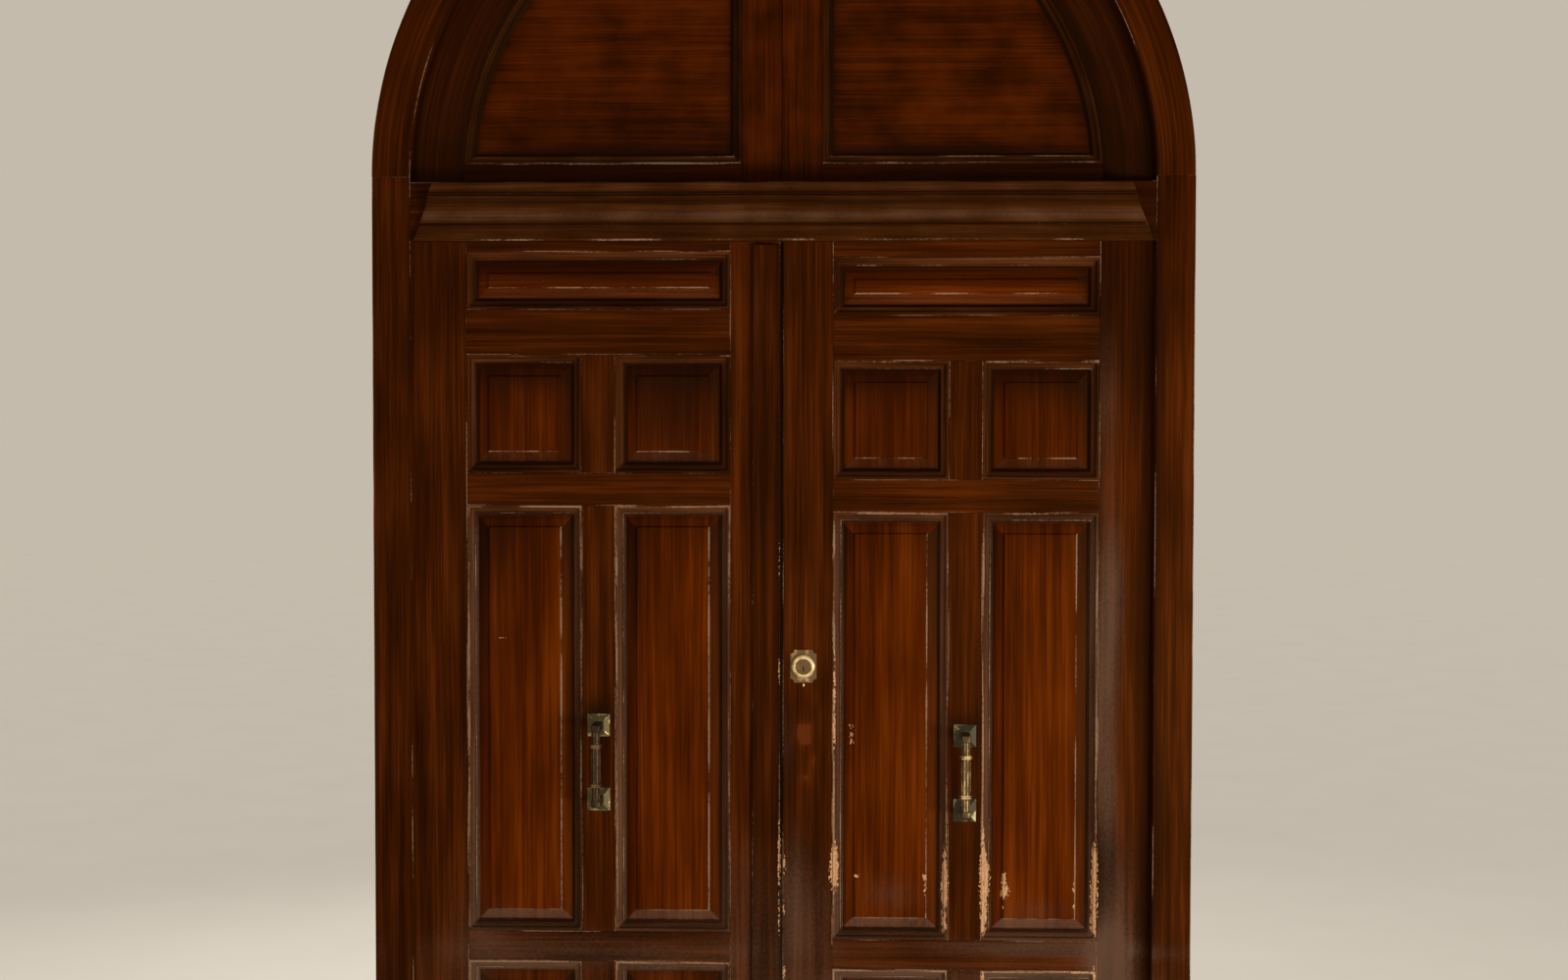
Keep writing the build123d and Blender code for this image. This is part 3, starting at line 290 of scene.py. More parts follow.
class MeshMaker:
    """Gathers closed shells worked out as arrays and writes them into one piece."""

    def __init__(self, name: str) -> None:
        """Start an empty piece.

        Args:
            name: the piece's name.
        """
        self.name = name
        self.points: list[Array] = []
        self.faces: list[Array] = []
        self.grain: list[Array] = []
        self.layers: dict[str, list[Array]] = {layer: [] for layer in LAYERS}
        self.count = 0

    def shell(self, points: Array, faces: list[Array], grain: Array, layers: Layers) -> None:
        """Add one closed shell, turned so that its faces look outwards.

        The signed volume is a sixth of the sum of a . (b x c) over each face's fan of triangles,
        and a shell whose sum is negative has its faces reversed.

        Args:
            points: any grid of points, with three numbers each.
            faces: arrays of faces, each with as many corners as its array has columns.
            grain: coordinates along the grain, alike in shape to points.
            layers: values of the layers that aren't zero, one for each point.
        """
        flat = points.reshape(-1, 3)
        middle = flat.mean(0)
        volume = 0.0
        for group in faces:
            fan = flat[group] - middle
            for corner in range(1, group.shape[1] - 1):
                volume += np.einsum("ij,ij->", fan[:, 0], np.cross(fan[:, corner], fan[:, corner + 1]))
        for group in faces:
            self.faces.append((group if volume > 0 else group[:, ::-1]) + self.count)
        self.points.append(flat)
        self.grain.append(grain.reshape(-1, 3))
        for layer in LAYERS:
            values = np.broadcast_to(layers.get(layer, 0.0), points.shape[:-1])
            self.layers[layer].append(np.asarray(values, float).ravel())
        self.count += len(flat)

    def tube(self, points: Array, grain: Array, layers: Layers, ring: bool = False) -> None:
        """Add a closed loop of points carried along stations.

        Args:
            points: grid of stations by points round the loop.
            grain: coordinates along the grain.
            layers: values of the layers.
            ring: whether the last station joins the first, and otherwise the ends are capped.
        """
        stations, around = points.shape[:2]
        last = stations if ring else stations - 1
        i, j = np.meshgrid(np.arange(last), np.arange(around), indexing="ij")
        i_next, j_next = (i + 1) % stations, (j + 1) % around
        quads = np.stack([
            i * around + j, i * around + j_next, i_next * around + j_next, i_next * around + j,
        ], -1)
        faces = [quads.reshape(-1, 4)]
        if not ring:
            cap = np.arange(around)
            faces += [cap[::-1][None], cap[None] + (stations - 1) * around]
        self.shell(points, faces, grain, layers)

    def slab(self, front: Array, back: Array, grain: Array, layers: Layers) -> None:
        """Add a slab from two grids of one size, joined round their edges.

        Each cell is cut along the diagonal that runs towards the grid's nearest corner, so that
        mitres stay sharp.

        Args:
            front, back: the points of the two faces.
            grain: coordinates along the grain, for either face.
            layers: values of the layers on the front, the back having none.
        """
        rows, columns = front.shape[:2]
        i, j = np.meshgrid(np.arange(rows - 1), np.arange(columns - 1), indexing="ij")
        a, b = i * columns + j, i * columns + j + 1
        c, d = a + columns + 1, a + columns
        falling = (i < (rows - 1) / 2) != (j < (columns - 1) / 2)
        first = np.where(falling[..., None], np.stack([b, c, d], -1), np.stack([a, b, c], -1))
        second = np.where(falling[..., None], np.stack([b, d, a], -1), np.stack([a, c, d], -1))
        half = np.concatenate([first.reshape(-1, 3), second.reshape(-1, 3)])
        index = np.arange(rows * columns).reshape(rows, columns)
        rim = np.concatenate([index[0, :-1], index[:-1, -1], index[-1, :0:-1], index[:0:-1, 0]])
        beside = np.roll(rim, -1)
        shift = rows * columns
        walls = np.stack([beside, rim, rim + shift, beside + shift], -1)
        both = np.stack([front, back])
        doubled = {layer: np.stack([value, np.zeros_like(value)]) for layer, value in layers.items()}
        self.shell(both, [half, half[:, ::-1] + shift, walls], np.stack([grain, grain]), doubled)

    def write(self, material: Material, sharp: float = 32.0) -> bpy.types.Object:
        """Write the shells into a mesh object at the origin.

        Args:
            material: the piece's finish.
            sharp: edges that turn by more than this many degrees stay sharp.

        Returns:
            The new object.
        """
        points = np.concatenate(self.points)
        corners = np.concatenate([group.ravel() for group in self.faces])
        sizes = np.concatenate([np.full(len(group), group.shape[1]) for group in self.faces])
        mesh = bpy.data.meshes.new(self.name)
        mesh.vertices.add(len(points))
        mesh.vertices.foreach_set("co", points.astype(np.float32).ravel())
        mesh.loops.add(len(corners))
        mesh.loops.foreach_set("vertex_index", corners.astype(np.int32))
        mesh.polygons.add(len(sizes))
        starts = np.concatenate([[0], np.cumsum(sizes)[:-1]])
        mesh.polygons.foreach_set("loop_start", starts.astype(np.int32))
        mesh.update(calc_edges=True)
        mesh.validate()
        vectors = mesh.attributes.new("grain", "FLOAT_VECTOR", "POINT")
        vectors.data.foreach_set("vector", np.concatenate(self.grain).astype(np.float32).ravel())
        for layer, values in self.layers.items():
            made = mesh.attributes.new(layer, "FLOAT", "POINT")
            made.data.foreach_set("value", np.concatenate(values).astype(np.float32))
        mesh.shade_smooth()
        mesh.set_sharp_from_angle(angle=math.radians(sharp))
        mesh.materials.append(material)
        piece = bpy.data.objects.new(self.name, mesh)
        bpy.context.scene.collection.objects.link(piece)
        return piece


def place(piece: bpy.types.Object, body: str, slot: str, *nodes: str) -> None:
    """Let a piece ride on a body, and stand for CAD nodes.

    Args:
        piece: the finished piece, in place.
        body: the CAD body that carries it.
        slot: not used.
        nodes: CAD nodes that it stands for.
    """
    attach(piece, body)
    if nodes:
        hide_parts(*nodes)
    log.info("%s rides on %s with %d points", piece.name, body, len(piece.data.vertices))


@dataclass(frozen=True)
class Section:
    """A timber's cross-section: a closed loop of points across and in depth."""

    points: Array
    normals: Array
    wear: Array

    @property
    def across(self) -> Array:
        """Where its points lie across the grain."""
        return self.points[:, 0]

    @staticmethod
    def cut(corners: Outline, rounding: float, step: float, depths: Sequence[float] = ()) -> "Section":
        """Round a polygon's outer corners and sample its sides.

        A rounded corner is the quadratic curve from r before the corner to r past it, with the
        corner as its middle control. Wear, with its painted highlight, is 1 on such a curve and falls
        as exp(-d / 1.6 mm).

        Args:
            corners: the polygon, as across and depth.
            rounding: reach r of the rounding at each outer corner.
            step: distance between samples on the sides that look outdoors: twice that on those
                that look indoors, and three times on the upright ones.
            depths: depths at which upright sides get a sample.

        Returns:
            The section.
        """
        loop = np.array(corners, float)
        after = np.roll(loop, -1, axis=0)
        if np.sum(loop[:, 0] * after[:, 1] - after[:, 0] * loop[:, 1]) < 0:
            loop = loop[::-1]
            after = np.roll(loop, -1, axis=0)
        length = np.linalg.norm(after - loop, axis=1)
        along = (after - loop) / length[:, None]
        before = np.roll(along, 1, axis=0)
        outer = before[:, 0] * along[:, 1] - before[:, 1] * along[:, 0] > 0
        reach = np.where(outer, rounding, 0.0)
        out = np.stack([along[:, 1], -along[:, 0]], -1)
        points, normals, wear = [], [], []
        curve = np.linspace(0.0, 1.0, 5)[:, None]
        fading, near_spots = 1.6 * MM, (0.8 * MM, 2.4 * MM)
        for index in range(len(loop)):
            corner, follow = loop[index], (index + 1) % len(loop)
            last = out[index - 1]
            if outer[index]:
                start, end = corner - before[index] * rounding, corner + along[index] * rounding
                bend = (1 - curve) ** 2 * start + 2 * curve * (1 - curve) * corner + curve**2 * end
                lean = (1 - curve) * last + curve * out[index]
                points.append(bend)
                normals.append(lean / np.linalg.norm(lean, axis=1)[:, None])
                wear.append(np.ones(len(curve)))
            else:
                points.append(corner[None])
                normals.append((last + out[index])[None] / 2)
                wear.append(np.zeros(1))
            free = length[index] - reach[index] - reach[follow]
            upright = abs(along[index, 0]) < abs(along[index, 1])
            indoors = out[index, 1] > 0.5
            count = max(2, math.ceil(free / (step * (3 if upright else 2 if indoors else 1))))
            places = set(np.linspace(0, free, count + 1)[1:-1])
            nearby = [near for near in near_spots if near < free / 3]
            if outer[index]:
                places |= set(nearby)
            if outer[follow]:
                places |= {free - near for near in nearby}
            if upright:
                asked = [(depth - corner[1]) / along[index, 1] - reach[index] for depth in depths]
                places |= {spot for spot in asked if 0 < spot < free}
            spots = np.array(sorted(places))
            points.append(corner + along[index] * (spots + reach[index])[:, None])
            normals.append(np.repeat(out[index][None], len(spots), axis=0))
            near_start = np.where(outer[index], spots, 1.0)
            near_end = np.where(outer[follow], free - spots, 1.0)
            wear.append(0.85 * np.exp(-np.minimum(near_start, near_end) / fading))
        return Section(np.concatenate(points), np.concatenate(normals), np.concatenate(wear))


@dataclass(frozen=True)
class Recess:
    """A shallow pocket in a timber's edge: the way that edge looks, its depths, run and floor."""

    looks: int
    depth_low: float
    depth_high: float
    run_low: float
    run_high: float
    deep: float

    def lines(self) -> tuple[list[float], list[float]]:
        """Depths and stations just inside and just outside the pocket's walls."""
        spans = ((self.depth_low, self.depth_high), (self.run_low, self.run_high))
        return tuple([low - SLIP, low, high, high + SLIP] for low, high in spans)


@dataclass(frozen=True)
class HingePlate:
    """Size of a hinge's plate, let into the leaf's and the jamb's edges at three levels."""

    tall: float = 100 * MM
    wide: float = 30 * MM
    thick: float = 2 * MM

    def levels(self) -> Array:
        """Middles of the three hinges, spread evenly over the box of their halves."""
        low, high = corners_of("left_leaf_hinge_halves")
        return np.linspace(low[2] + self.tall / 2, high[2] - self.tall / 2, 3)

    def recess(self, looks: int, back: float, z: float) -> Recess:
        """The gain of one plate in an edge whose indoor arris is at the depth back."""
        return Recess(looks, back - self.wide, back, z - self.tall / 2, z + self.tall / 2, self.thick)


HINGE = HingePlate()


@dataclass
class Timber:
    """A section carried along its grain, straight up, straight across or round the arch.

    The run's start and end are lengths, or angles where it is round: one number for the whole
    section, or one for each of its points.
    """

    section: Section
    run: Run
    start: Reach
    end: Reach
    seed: int
    recesses: Sequence[Recess] = ()
    side: int = 1
    spring: float = 0.0
    step: float = 10.5 * MM
    rounding: float = 0.9 * MM
    hollow: float = 0.25 * MM
    rubbed_off: float = 0.7 * MM
    grime: float = 0.0
    worn: float = 1.0
    moulded: bool = False

    def stations(self, length: float, low: float) -> tuple[Array, Array]:
        """Choose where along the run the section is set.

        Near an end the rounding is a quarter circle: at angle t the station is r - r cos t from
        the end and the section is r - r sin t smaller.

        Args:
            length: length of the run.
            low: where the run starts.

        Returns:
            Shares of the run to stop at, and how far the section is drawn in at each.
        """
        r = self.rounding
        turn = np.radians([0.0, 30.0, 60.0, 90.0])
        places = dict(zip(r - r * np.cos(turn), r - r * np.sin(turn)))
        places.update(zip(length - (r - r * np.cos(turn)), r - r * np.sin(turn)))
        inner = np.linspace(r, length - r, max(3, math.ceil(length / self.step)))
        extra = [spot - low for recess in self.recesses for spot in recess.lines()[1]]
        for spot in [*inner[1:-1], *(s for s in extra if r < s < length - r), 3 * MM, length - 3 * MM]:
            places[spot] = 0.0
        spots = np.array(sorted(places))
        return spots / length, np.array([places[spot] for spot in spots])

    def add_to(self, maker: MeshMaker) -> None:
        """Work out the timber's surface and its layers, and add them to a piece.

        The section is drawn inwards along its normals by a shallow hollow of smooth noise, by the
        wear of its arrises and by the bare chips, so the timber never leaves its CAD box.

        Args:
            maker: the piece that takes it.
        """
        across, depth = self.section.points.T
        start, end = np.full_like(across, self.start), np.full_like(across, self.end)
        scale = np.mean(across) if self.run is Run.ROUND else 1.0
        length, low = np.max(end - start) * scale, np.min(start)
        shares, inset = self.stations(length, low)
        noise = Noise(self.seed)
        s = shares[:, None] * length
        x, z = self.spread(across, start, end, shares)
        lean, reach = (-0.02, 60 * MM) if self.moulded else (-0.3, 4 * MM)
        outdoors = ((self.section.normals[:, 1] < lean) & (depth < depth.min() + reach))[None]
        bare = np.where(outdoors, marked(BARE, x, z), 0.0)
        # Wear of the arrises and the run's ends, which also paints their highlights.
        wear = np.maximum(self.section.wear[None], 0.8 * (inset > 0)[:, None])
        wear = self.worn * wear * (0.30 + 0.85 * noise.at(s / 0.07 + 9, across[None] / 0.02))
        normals = self.section.normals
        flat = np.abs(normals[:, 1])[None] > 0.5
        drawn = inset[:, None] + self.hollow * flat * noise.at(across[None] / 0.05, s / 0.3)
        drawn = drawn + self.rubbed_off * np.clip(wear - 0.75, 0, 1) + CHIP_DEPTH * np.clip(bare, 0, 1)
        moved = across[None] - normals[None, :, 0] * drawn
        deep = depth[None] - normals[None, :, 1] * drawn
        for recess in self.recesses:
            moved = moved - recess.looks * recess.deep * self.pocketed(recess, s[:, 0] + low)
        x, z = self.spread(moved, start, end, shares)
        points = np.stack([x, deep, z], -1)
        grain = np.stack(np.broadcast_arrays(across[None], depth[None], s), -1) + grain_offset(self.seed)
        # On the cornice these marks paint shade in its hollows, light on its cove and dust on its crown.
        dust_and_light_marks, soot_and_shade_marks = (CORNICE_DUST_AND_LIGHT, CORNICE_SHADE) if self.moulded else (HAZE, SOOT_AND_SHADOW)
        haze = np.where(outdoors, marked(dust_and_light_marks, x, z) + low_dust(z), 0.0)
        edge = np.minimum(across - across.min(), across.max() - across)[None]
        # Darker towards the timber's long edges.
        margin = 0.0 if self.moulded else 0.34 * np.exp(-edge / (9 * MM))
        soot = np.where(outdoors, marked(soot_and_shade_marks, x, z) + margin, 0.0) + self.grime
        layers = {"wear": wear, "bare": bare, "haze": np.clip(haze, 0, 1), "soot": soot}
        maker.tube(points, grain, layers)

    def pocketed(self, recess: Recess, spots: Array) -> Array:
        """Find the points that lie on a pocket's floor.

        Args:
            recess: the pocket.
            spots: the stations along the run.

        Returns:
            Whether each point does, as stations by points of the section.
        """
        depth, slip = self.section.points[:, 1], 1e-6
        faces = self.section.normals[:, 0] * recess.looks > 0.9
        held = (depth > recess.depth_low - slip) & (depth < recess.depth_high + slip) & faces
        inside = (spots > recess.run_low - slip) & (spots < recess.run_high + slip)
        return inside[:, None] & held[None]

    def spread(self, across: Array, start: Array, end: Array, shares: Array) -> tuple[Array, Array]:
        """Carry the section's points along the run.

        Straight runs go from start to end by the share. A round run turns from the angle start to
        the angle end about the springing, with the across value as its radius.

        Args:
            across: the points' values across the grain.
            start, end: where each point's run starts and ends.
            shares: the stations as shares of the run.

        Returns:
            The points' places across the doorway and in height.
        """
        along = start + shares[:, None] * (end - start)
        across = np.broadcast_to(across, along.shape)
        if self.run is Run.UP:
            return across, along
        if self.run is Run.ACROSS:
            return along, across
        return self.side * across * np.cos(along), self.spring + across * np.sin(along)


def lay_timbers(node: str, finish: Material, body: str, *timbers: Timber) -> None:
    """Write timbers into one piece that stands for a CAD node and is named after it.

    Args:
        node: the CAD node.
        finish: their varnish.
        body: the CAD body that carries them.
        timbers: the timbers.
    """
    maker = MeshMaker(f"{node}_timber")
    for timber in timbers:
        timber.add_to(maker)
    place(maker.write(finish), body, "varnished_wood", node)


def box_section(
    low: float, high: float, front: float, back: float, rounding: float, step: float, groove: float = 0.0,
    grooved: tuple[bool, bool] = (False, False), depths: Sequence[float] = (),
) -> Section:
    """Section of a squared timber, with a panel groove in either edge.

    Args:
        low, high: its edges across.
        front, back: its outdoor and indoor faces.
        rounding: reach of the worn arrises.
        step: spacing of the samples over its faces.
        groove: depth of a groove, whose half width is 0.86 of it.
        grooved: whether the low and the high edge have a groove.
        depths: more depths to sample on its edges.

    Returns:
        The section.
    """
    middle, half = (front + back) / 2, groove * 0.86
    corners = [(low, front), (high, front)]
    if grooved[1]:
        corners += [(high, middle - half), (high - groove, middle - half)]
        corners += [(high - groove, middle + half), (high, middle + half)]
    corners += [(high, back), (low, back)]
    if grooved[0]:
        corners += [(low, middle + half), (low + groove, middle + half)]
        corners += [(low + groove, middle - half), (low, middle - half)]
    return Section.cut(corners, rounding, step, depths)


# Finishes


Value = Union["Wire", float]


class Wire:
    """One socket of a node tree, so that Python expressions write its shader maths."""

    def __init__(self, tree: "Tree", socket: bpy.types.NodeSocket) -> None:
        """Wrap an output socket."""
        self.tree = tree
        self.socket = socket

    def math(self, operation: str, *values: Value) -> "Wire":
        """Feed values through one Math node."""
        return self.tree.node("ShaderNodeMath", {"operation": operation}, dict(enumerate(values)))

    def __add__(self, other: Value) -> "Wire":
        """Sum."""
        return self.math("ADD", self, other)

    __radd__ = __add__

    def __sub__(self, other: Value) -> "Wire":
        """Difference."""
        return self.math("SUBTRACT", self, other)

    def __rsub__(self, other: float) -> "Wire":
        """Difference from a number."""
        return self.math("SUBTRACT", other, self)

    def __mul__(self, other: Value) -> "Wire":
        """Product."""
        return self.math("MULTIPLY", self, other)

    __rmul__ = __mul__

    def step(self, low: float, high: float) -> "Wire":
        """Smooth step from 0 at low to 1 at high."""
        limits = {"Value": self, "From Min": low, "From Max": high}
        return self.tree.node("ShaderNodeMapRange", {"interpolation_type": "SMOOTHSTEP"}, limits)


class Tree:
    """The node tree of one new material or world."""

    def __init__(self, owner: Union[Material, bpy.types.World]) -> None:
        """Take a tree and clear its nodes.

        Args:
            owner: the material or the world.
        """
        owner.use_nodes = True
        self.owner = owner
        self.nodes, self.links = owner.node_tree.nodes, owner.node_tree.links
        self.nodes.clear()

    def node(
        self, kind: str, settings: dict[str, object], inputs: dict[Union[str, int], object],
        output: Union[str, int] = 0,
    ) -> Wire:
        """Make one node.

        Args:
            kind: Blender's node type.
            settings: its properties; "stops" sets a ramp's places and colours.
            inputs: values or wires by socket name or number.
            output: the output to wrap.

        Returns:
            That output.
        """
        made = self.nodes.new(kind)
        for name, value in settings.items():
            if name == "stops":
                self.set_ramp(made.color_ramp, value)
            else:
                setattr(made, name, value)
        for name, value in inputs.items():
            socket = made.inputs[name]
            if isinstance(value, Wire):
                self.links.new(value.socket, socket)
            else:
                socket.default_value = value
        return Wire(self, made.outputs[output])

    @staticmethod
    def set_ramp(ramp: bpy.types.ColorRamp, stops: Sequence[tuple[float, Colour]]) -> None:
        """Give a colour ramp its stops.

        Args:
            ramp: the ramp of a new node.
            stops: places and colours, in order.
        """
        while len(ramp.elements) < len(stops):
            ramp.elements.new(0.5)
        for element, (spot, colour) in zip(ramp.elements, stops):
            element.position = spot
            element.color = colour

    def layer(self, name: str, output: str = "Fac") -> Wire:
        """Read one of the piece's own attributes."""
        return self.node("ShaderNodeAttribute", {"attribute_name": name}, {}, output)

    def noise(self, where: Wire, scale: Scale, detail: float = 2.0) -> Wire:
        """Noise whose features are 1 / scale long each way."""
        stretched = self.node("ShaderNodeVectorMath", {"operation": "MULTIPLY"}, {0: where, 1: scale})
        return self.node("ShaderNodeTexNoise", {}, {"Vector": stretched, "Scale": 1.0, "Detail": detail})

    def mix(self, share: Value, first: object, second: object) -> Wire:
        """Blend two colours by a share, on the Mix node's sockets for colours."""
        return self.node("ShaderNodeMix", {"data_type": "RGBA"}, {0: share, 6: first, 7: second}, 2)

    def close(self, kind: str, shader: Wire) -> None:
        """Join a shader to a new output node."""
        self.links.new(shader.socket, self.nodes.new(kind).inputs["Surface"])

    def finish(
        self, inputs: dict[str, object], height: Wire, strength: float, distance: float,
    ) -> Material:
        """Close the tree with a principled shader whose normal is bumped.

        Args:
            inputs: values or wires of the principled shader.
            height: the bump's height.
            strength: how strongly it tells.
            distance: the height of one unit, in metres.

        Returns:
            The material.
        """
        relief = {"Height": height, "Strength": strength, "Distance": distance}
        normal = self.node("ShaderNodeBump", {}, relief)
        shader = self.node("ShaderNodeBsdfPrincipled", {}, {**inputs, "Normal": normal})
        self.close("ShaderNodeOutputMaterial", shader)
        return self.owner


@dataclass(frozen=True)
class Varnish:
    """Old varnished wood: long streaks, cloudy tone, worn arrises with painted highlights, dust with painted
    light, soot with painted shade, and bare chips.
    """

    name: str
    dark: Colour
    middle: Colour
    light: Colour
    gloss: float = 0.33
    clouded: float = 0.55
    streaked: float = 0.55
    streak: Scale = (74.0, 74.0, 1.7)
    fibre: Scale = (270.0, 270.0, 5.0)
    fleck: Scale = (230.0, 230.0, 170.0)
    splinter: Scale = (480.0, 480.0, 150.0)
    # The soot colour also paints shade, the dust colour painted light and the worn colour painted highlights.
    soot: Colour = linear(24, 10, 4)
    dust: Colour = linear(104, 78, 60)
    worn: Colour = linear(168, 132, 100)
    bare: Colour = linear(226, 174, 126)
    bare_dark: Colour = linear(190, 136, 90)
    patch: Colour = linear(104, 48, 18)
    sheen: float = 0.06
    glint: Colour = (1.0, 0.40, 0.10, 1.0)
    relief: float = 0.5 * MM

    def make(self) -> Material:
        """Build the material from the piece's grain coordinates and layers.

        The tone picks a colour between dark and light. Soot with painted shade, rubbed patches, dust
        with painted light, worn arrises with painted highlights and bare chips are then laid over it,
        each by the smooth step of its layer and the noises.

        Returns:
            The material.
        """
        tree = Tree(bpy.data.materials.new(self.name))
        grain = tree.layer("grain", "Vector")
        streaks = tree.noise(grain, self.streak, 4.0)
        fibres = tree.noise(grain, self.fibre, 2.0)
        clouds = tree.noise(grain, (13.0, 13.0, 3.2 + 8.0 * (self.clouded > self.streaked)), 3.0)
        flecks = tree.noise(grain, self.fleck, 3.0)
        soot, haze = tree.layer("soot"), tree.layer("haze")
        tone = streaks * self.streaked + clouds * self.clouded + fibres * 0.40 - 0.04 - soot * 0.12
        tone = tone - (self.streaked + self.clouded) * 0.5 + 0.34
        stops = [(0.34, self.dark), (0.50, self.middle), (0.66, self.light)]
        colour = tree.node("ShaderNodeValToRGB", {"stops": stops}, {"Fac": tone})
        colour = tree.mix((soot * (0.55 + clouds * 0.6)).step(0.15, 0.95) * 0.85, colour, self.soot)
        smoothed = (flecks * 1.1 + clouds * 0.8 - 1.1 - soot).step(0.45, 0.75)
        colour = tree.mix(smoothed * 0.7, colour, self.patch)
        film = haze * (clouds * 1.2 + streaks * 0.6 + flecks * 0.8 - 0.4)
        film = (film + flecks * 0.10 - 0.05).step(0.05, 0.95)
        colour = tree.mix(film * 0.72, colour, self.dust)
        rubbed = (tree.layer("wear") * (0.45 + flecks * 0.75) + haze * 0.1).step(0.52, 0.86)
        colour = tree.mix(rubbed * 0.78, colour, self.worn)
        splinters = tree.noise(grain, self.splinter, 3.0)
        ragged = (flecks - 0.5) * 2.6 + (splinters - 0.5) * 1.6
        chipped = (tree.layer("bare") + ragged * tree.layer("bare").step(0.02, 0.35)).step(0.46, 0.54)
        wood = tree.mix(splinters.step(0.3, 0.7), self.bare, self.bare_dark)
        colour = tree.mix(chipped, colour, wood)
        roughness = self.gloss + clouds * 0.16 + film * 0.30 + rubbed * 0.18 + chipped * 0.35
        height = streaks * 0.5 + fibres * 0.22 - chipped * 1.6
        inputs = {"Base Color": colour, "Roughness": roughness, "Specular IOR Level": self.sheen,
                  "Specular Tint": self.glint}
        return tree.finish(inputs, height, 0.35, self.relief)


@dataclass(frozen=True)
class Metal:
    """Old metal: a dull film rubbed through to brighter metal, with painted highlights on its rubbed edges,
    and fine scratches and pits.
    """

    name: str
    dull: Colour
    bright: Colour
    rubbed: float
    roughness: float
    metallic: float = 0.85
    pitted: Colour = linear(30, 24, 14)
    patch: Scale = (55.0, 55.0, 55.0)
    pit: Scale = (420.0, 420.0, 420.0)
    scratch: Scale = (900.0, 900.0, 60.0)
    relief: float = 0.3 * MM

    def make(self) -> Material:
        """Build the material on Object coordinates.

        Returns:
            The material.
        """
        tree = Tree(bpy.data.materials.new(self.name))
        where = tree.node("ShaderNodeTexCoord", {}, {}, "Object")
        patches = tree.noise(where, self.patch, 4.0)
        pits = tree.noise(where, self.pit, 2.0)
        scratches = tree.noise(where, self.scratch, 1.0)
        # The wear layer brightens rubbed edges, which also paints their highlights.
        shown = patches + pits * 0.25 - 0.12 + tree.layer("wear") * 0.34
        bright = shown.step(0.62 - self.rubbed * 0.3, 0.80 - self.rubbed * 0.3)
        colour = tree.mix(bright, self.dull, self.bright)
        colour = tree.mix(pits.step(0.62, 0.8) * 0.5, colour, self.pitted)
        inputs = {
            "Base Color": colour, "Roughness": self.roughness + patches * 0.2 - bright * 0.12,
            "Metallic": self.metallic - pits * 0.2,
        }
        return tree.finish(inputs, patches * 0.6 + pits * 0.4 + scratches * 0.15, 0.3, self.relief)


def made_once(finish: Union[Varnish, Metal]) -> Material:
    """Field of Finishes whose material is built when they are."""
    return field(default_factory=finish.make)


@dataclass
class Finishes:
    """Every finish of the door, made once."""

    timber: Material = made_once(
        Varnish("timber_varnish", linear(42, 14, 0), linear(66, 25, 2), linear(94, 40, 6)))
    panel: Material = made_once(
        Varnish("panel_varnish", linear(62, 20, 0), linear(88, 32, 0), linear(114, 48, 4)))
    trim: Material = made_once(
        Varnish("moulding_varnish", linear(50, 22, 5), linear(78, 38, 14), linear(106, 60, 32)))
    tympanum: Material = made_once(
        Varnish("tympanum_varnish", linear(46, 15, 0), linear(73, 26, 1), linear(93, 36, 3),
                clouded=0.6, streaked=0.3))
    crown: Material = made_once(
        Varnish("cornice_varnish", linear(44, 19, 3), linear(68, 33, 9), linear(92, 52, 24),
                clouded=0.4, streaked=0.25))
    # Near-black painted shade for the gap of the meeting edges and the tympanum's joint.
    seal: Material = made_once(
        Varnish("brush_seal", linear(10, 8, 6), linear(16, 12, 9), linear(22, 17, 13),
                worn=linear(18, 14, 11)))
    brass: Material = made_once(
        Metal("handle_brass", linear(86, 64, 34), linear(200, 168, 112), 0.1, 0.40))
    rose_brass: Material = made_once(
        Metal("rose_brass", linear(60, 52, 34), linear(158, 142, 102), 0.05, 0.42))
    olive_brass: Material = made_once(
        Metal("olive_brass", linear(82, 70, 38), linear(190, 172, 118), 0.1, 0.40))
    dull_brass: Material = made_once(
        Metal("dull_brass", linear(56, 38, 20), linear(112, 86, 54), 0.0, 0.46))
    bright_brass: Material = made_once(
        Metal("ring_brass", linear(176, 142, 88), linear(236, 206, 152), 0.8, 0.30))
    lock_brass: Material = made_once(
        Metal("lock_brass", linear(104, 78, 46), linear(182, 144, 88), 0.35, 0.40))
    steel: Material = made_once(
        Metal("hinge_steel", linear(96, 90, 82), linear(160, 156, 150), 0.3, 0.42))
    iron: Material = made_once(
        Metal("bolt_iron", linear(38, 35, 33), linear(86, 80, 74), 0.0, 0.5, 0.7))


# Sub-assemblies


STILES = ("hinge_stile", "meeting_stile")
RAILS = ("bottom_rail", "lock_rail", "middle_rail", "frieze_rail", "top_rail")
ROWS = ("lower", "tall", "square", "top")


@dataclass
class RingSide:
    """One side of a moulding's ring: its corners as functions of the inset, its wear and painted light, and
    its bend.
    """

    start: Corner
    end: Corner
    length: float
    worn: tuple[float, float] = (1.0, 1.0)
    centre: Union[tuple[float, float], None] = None


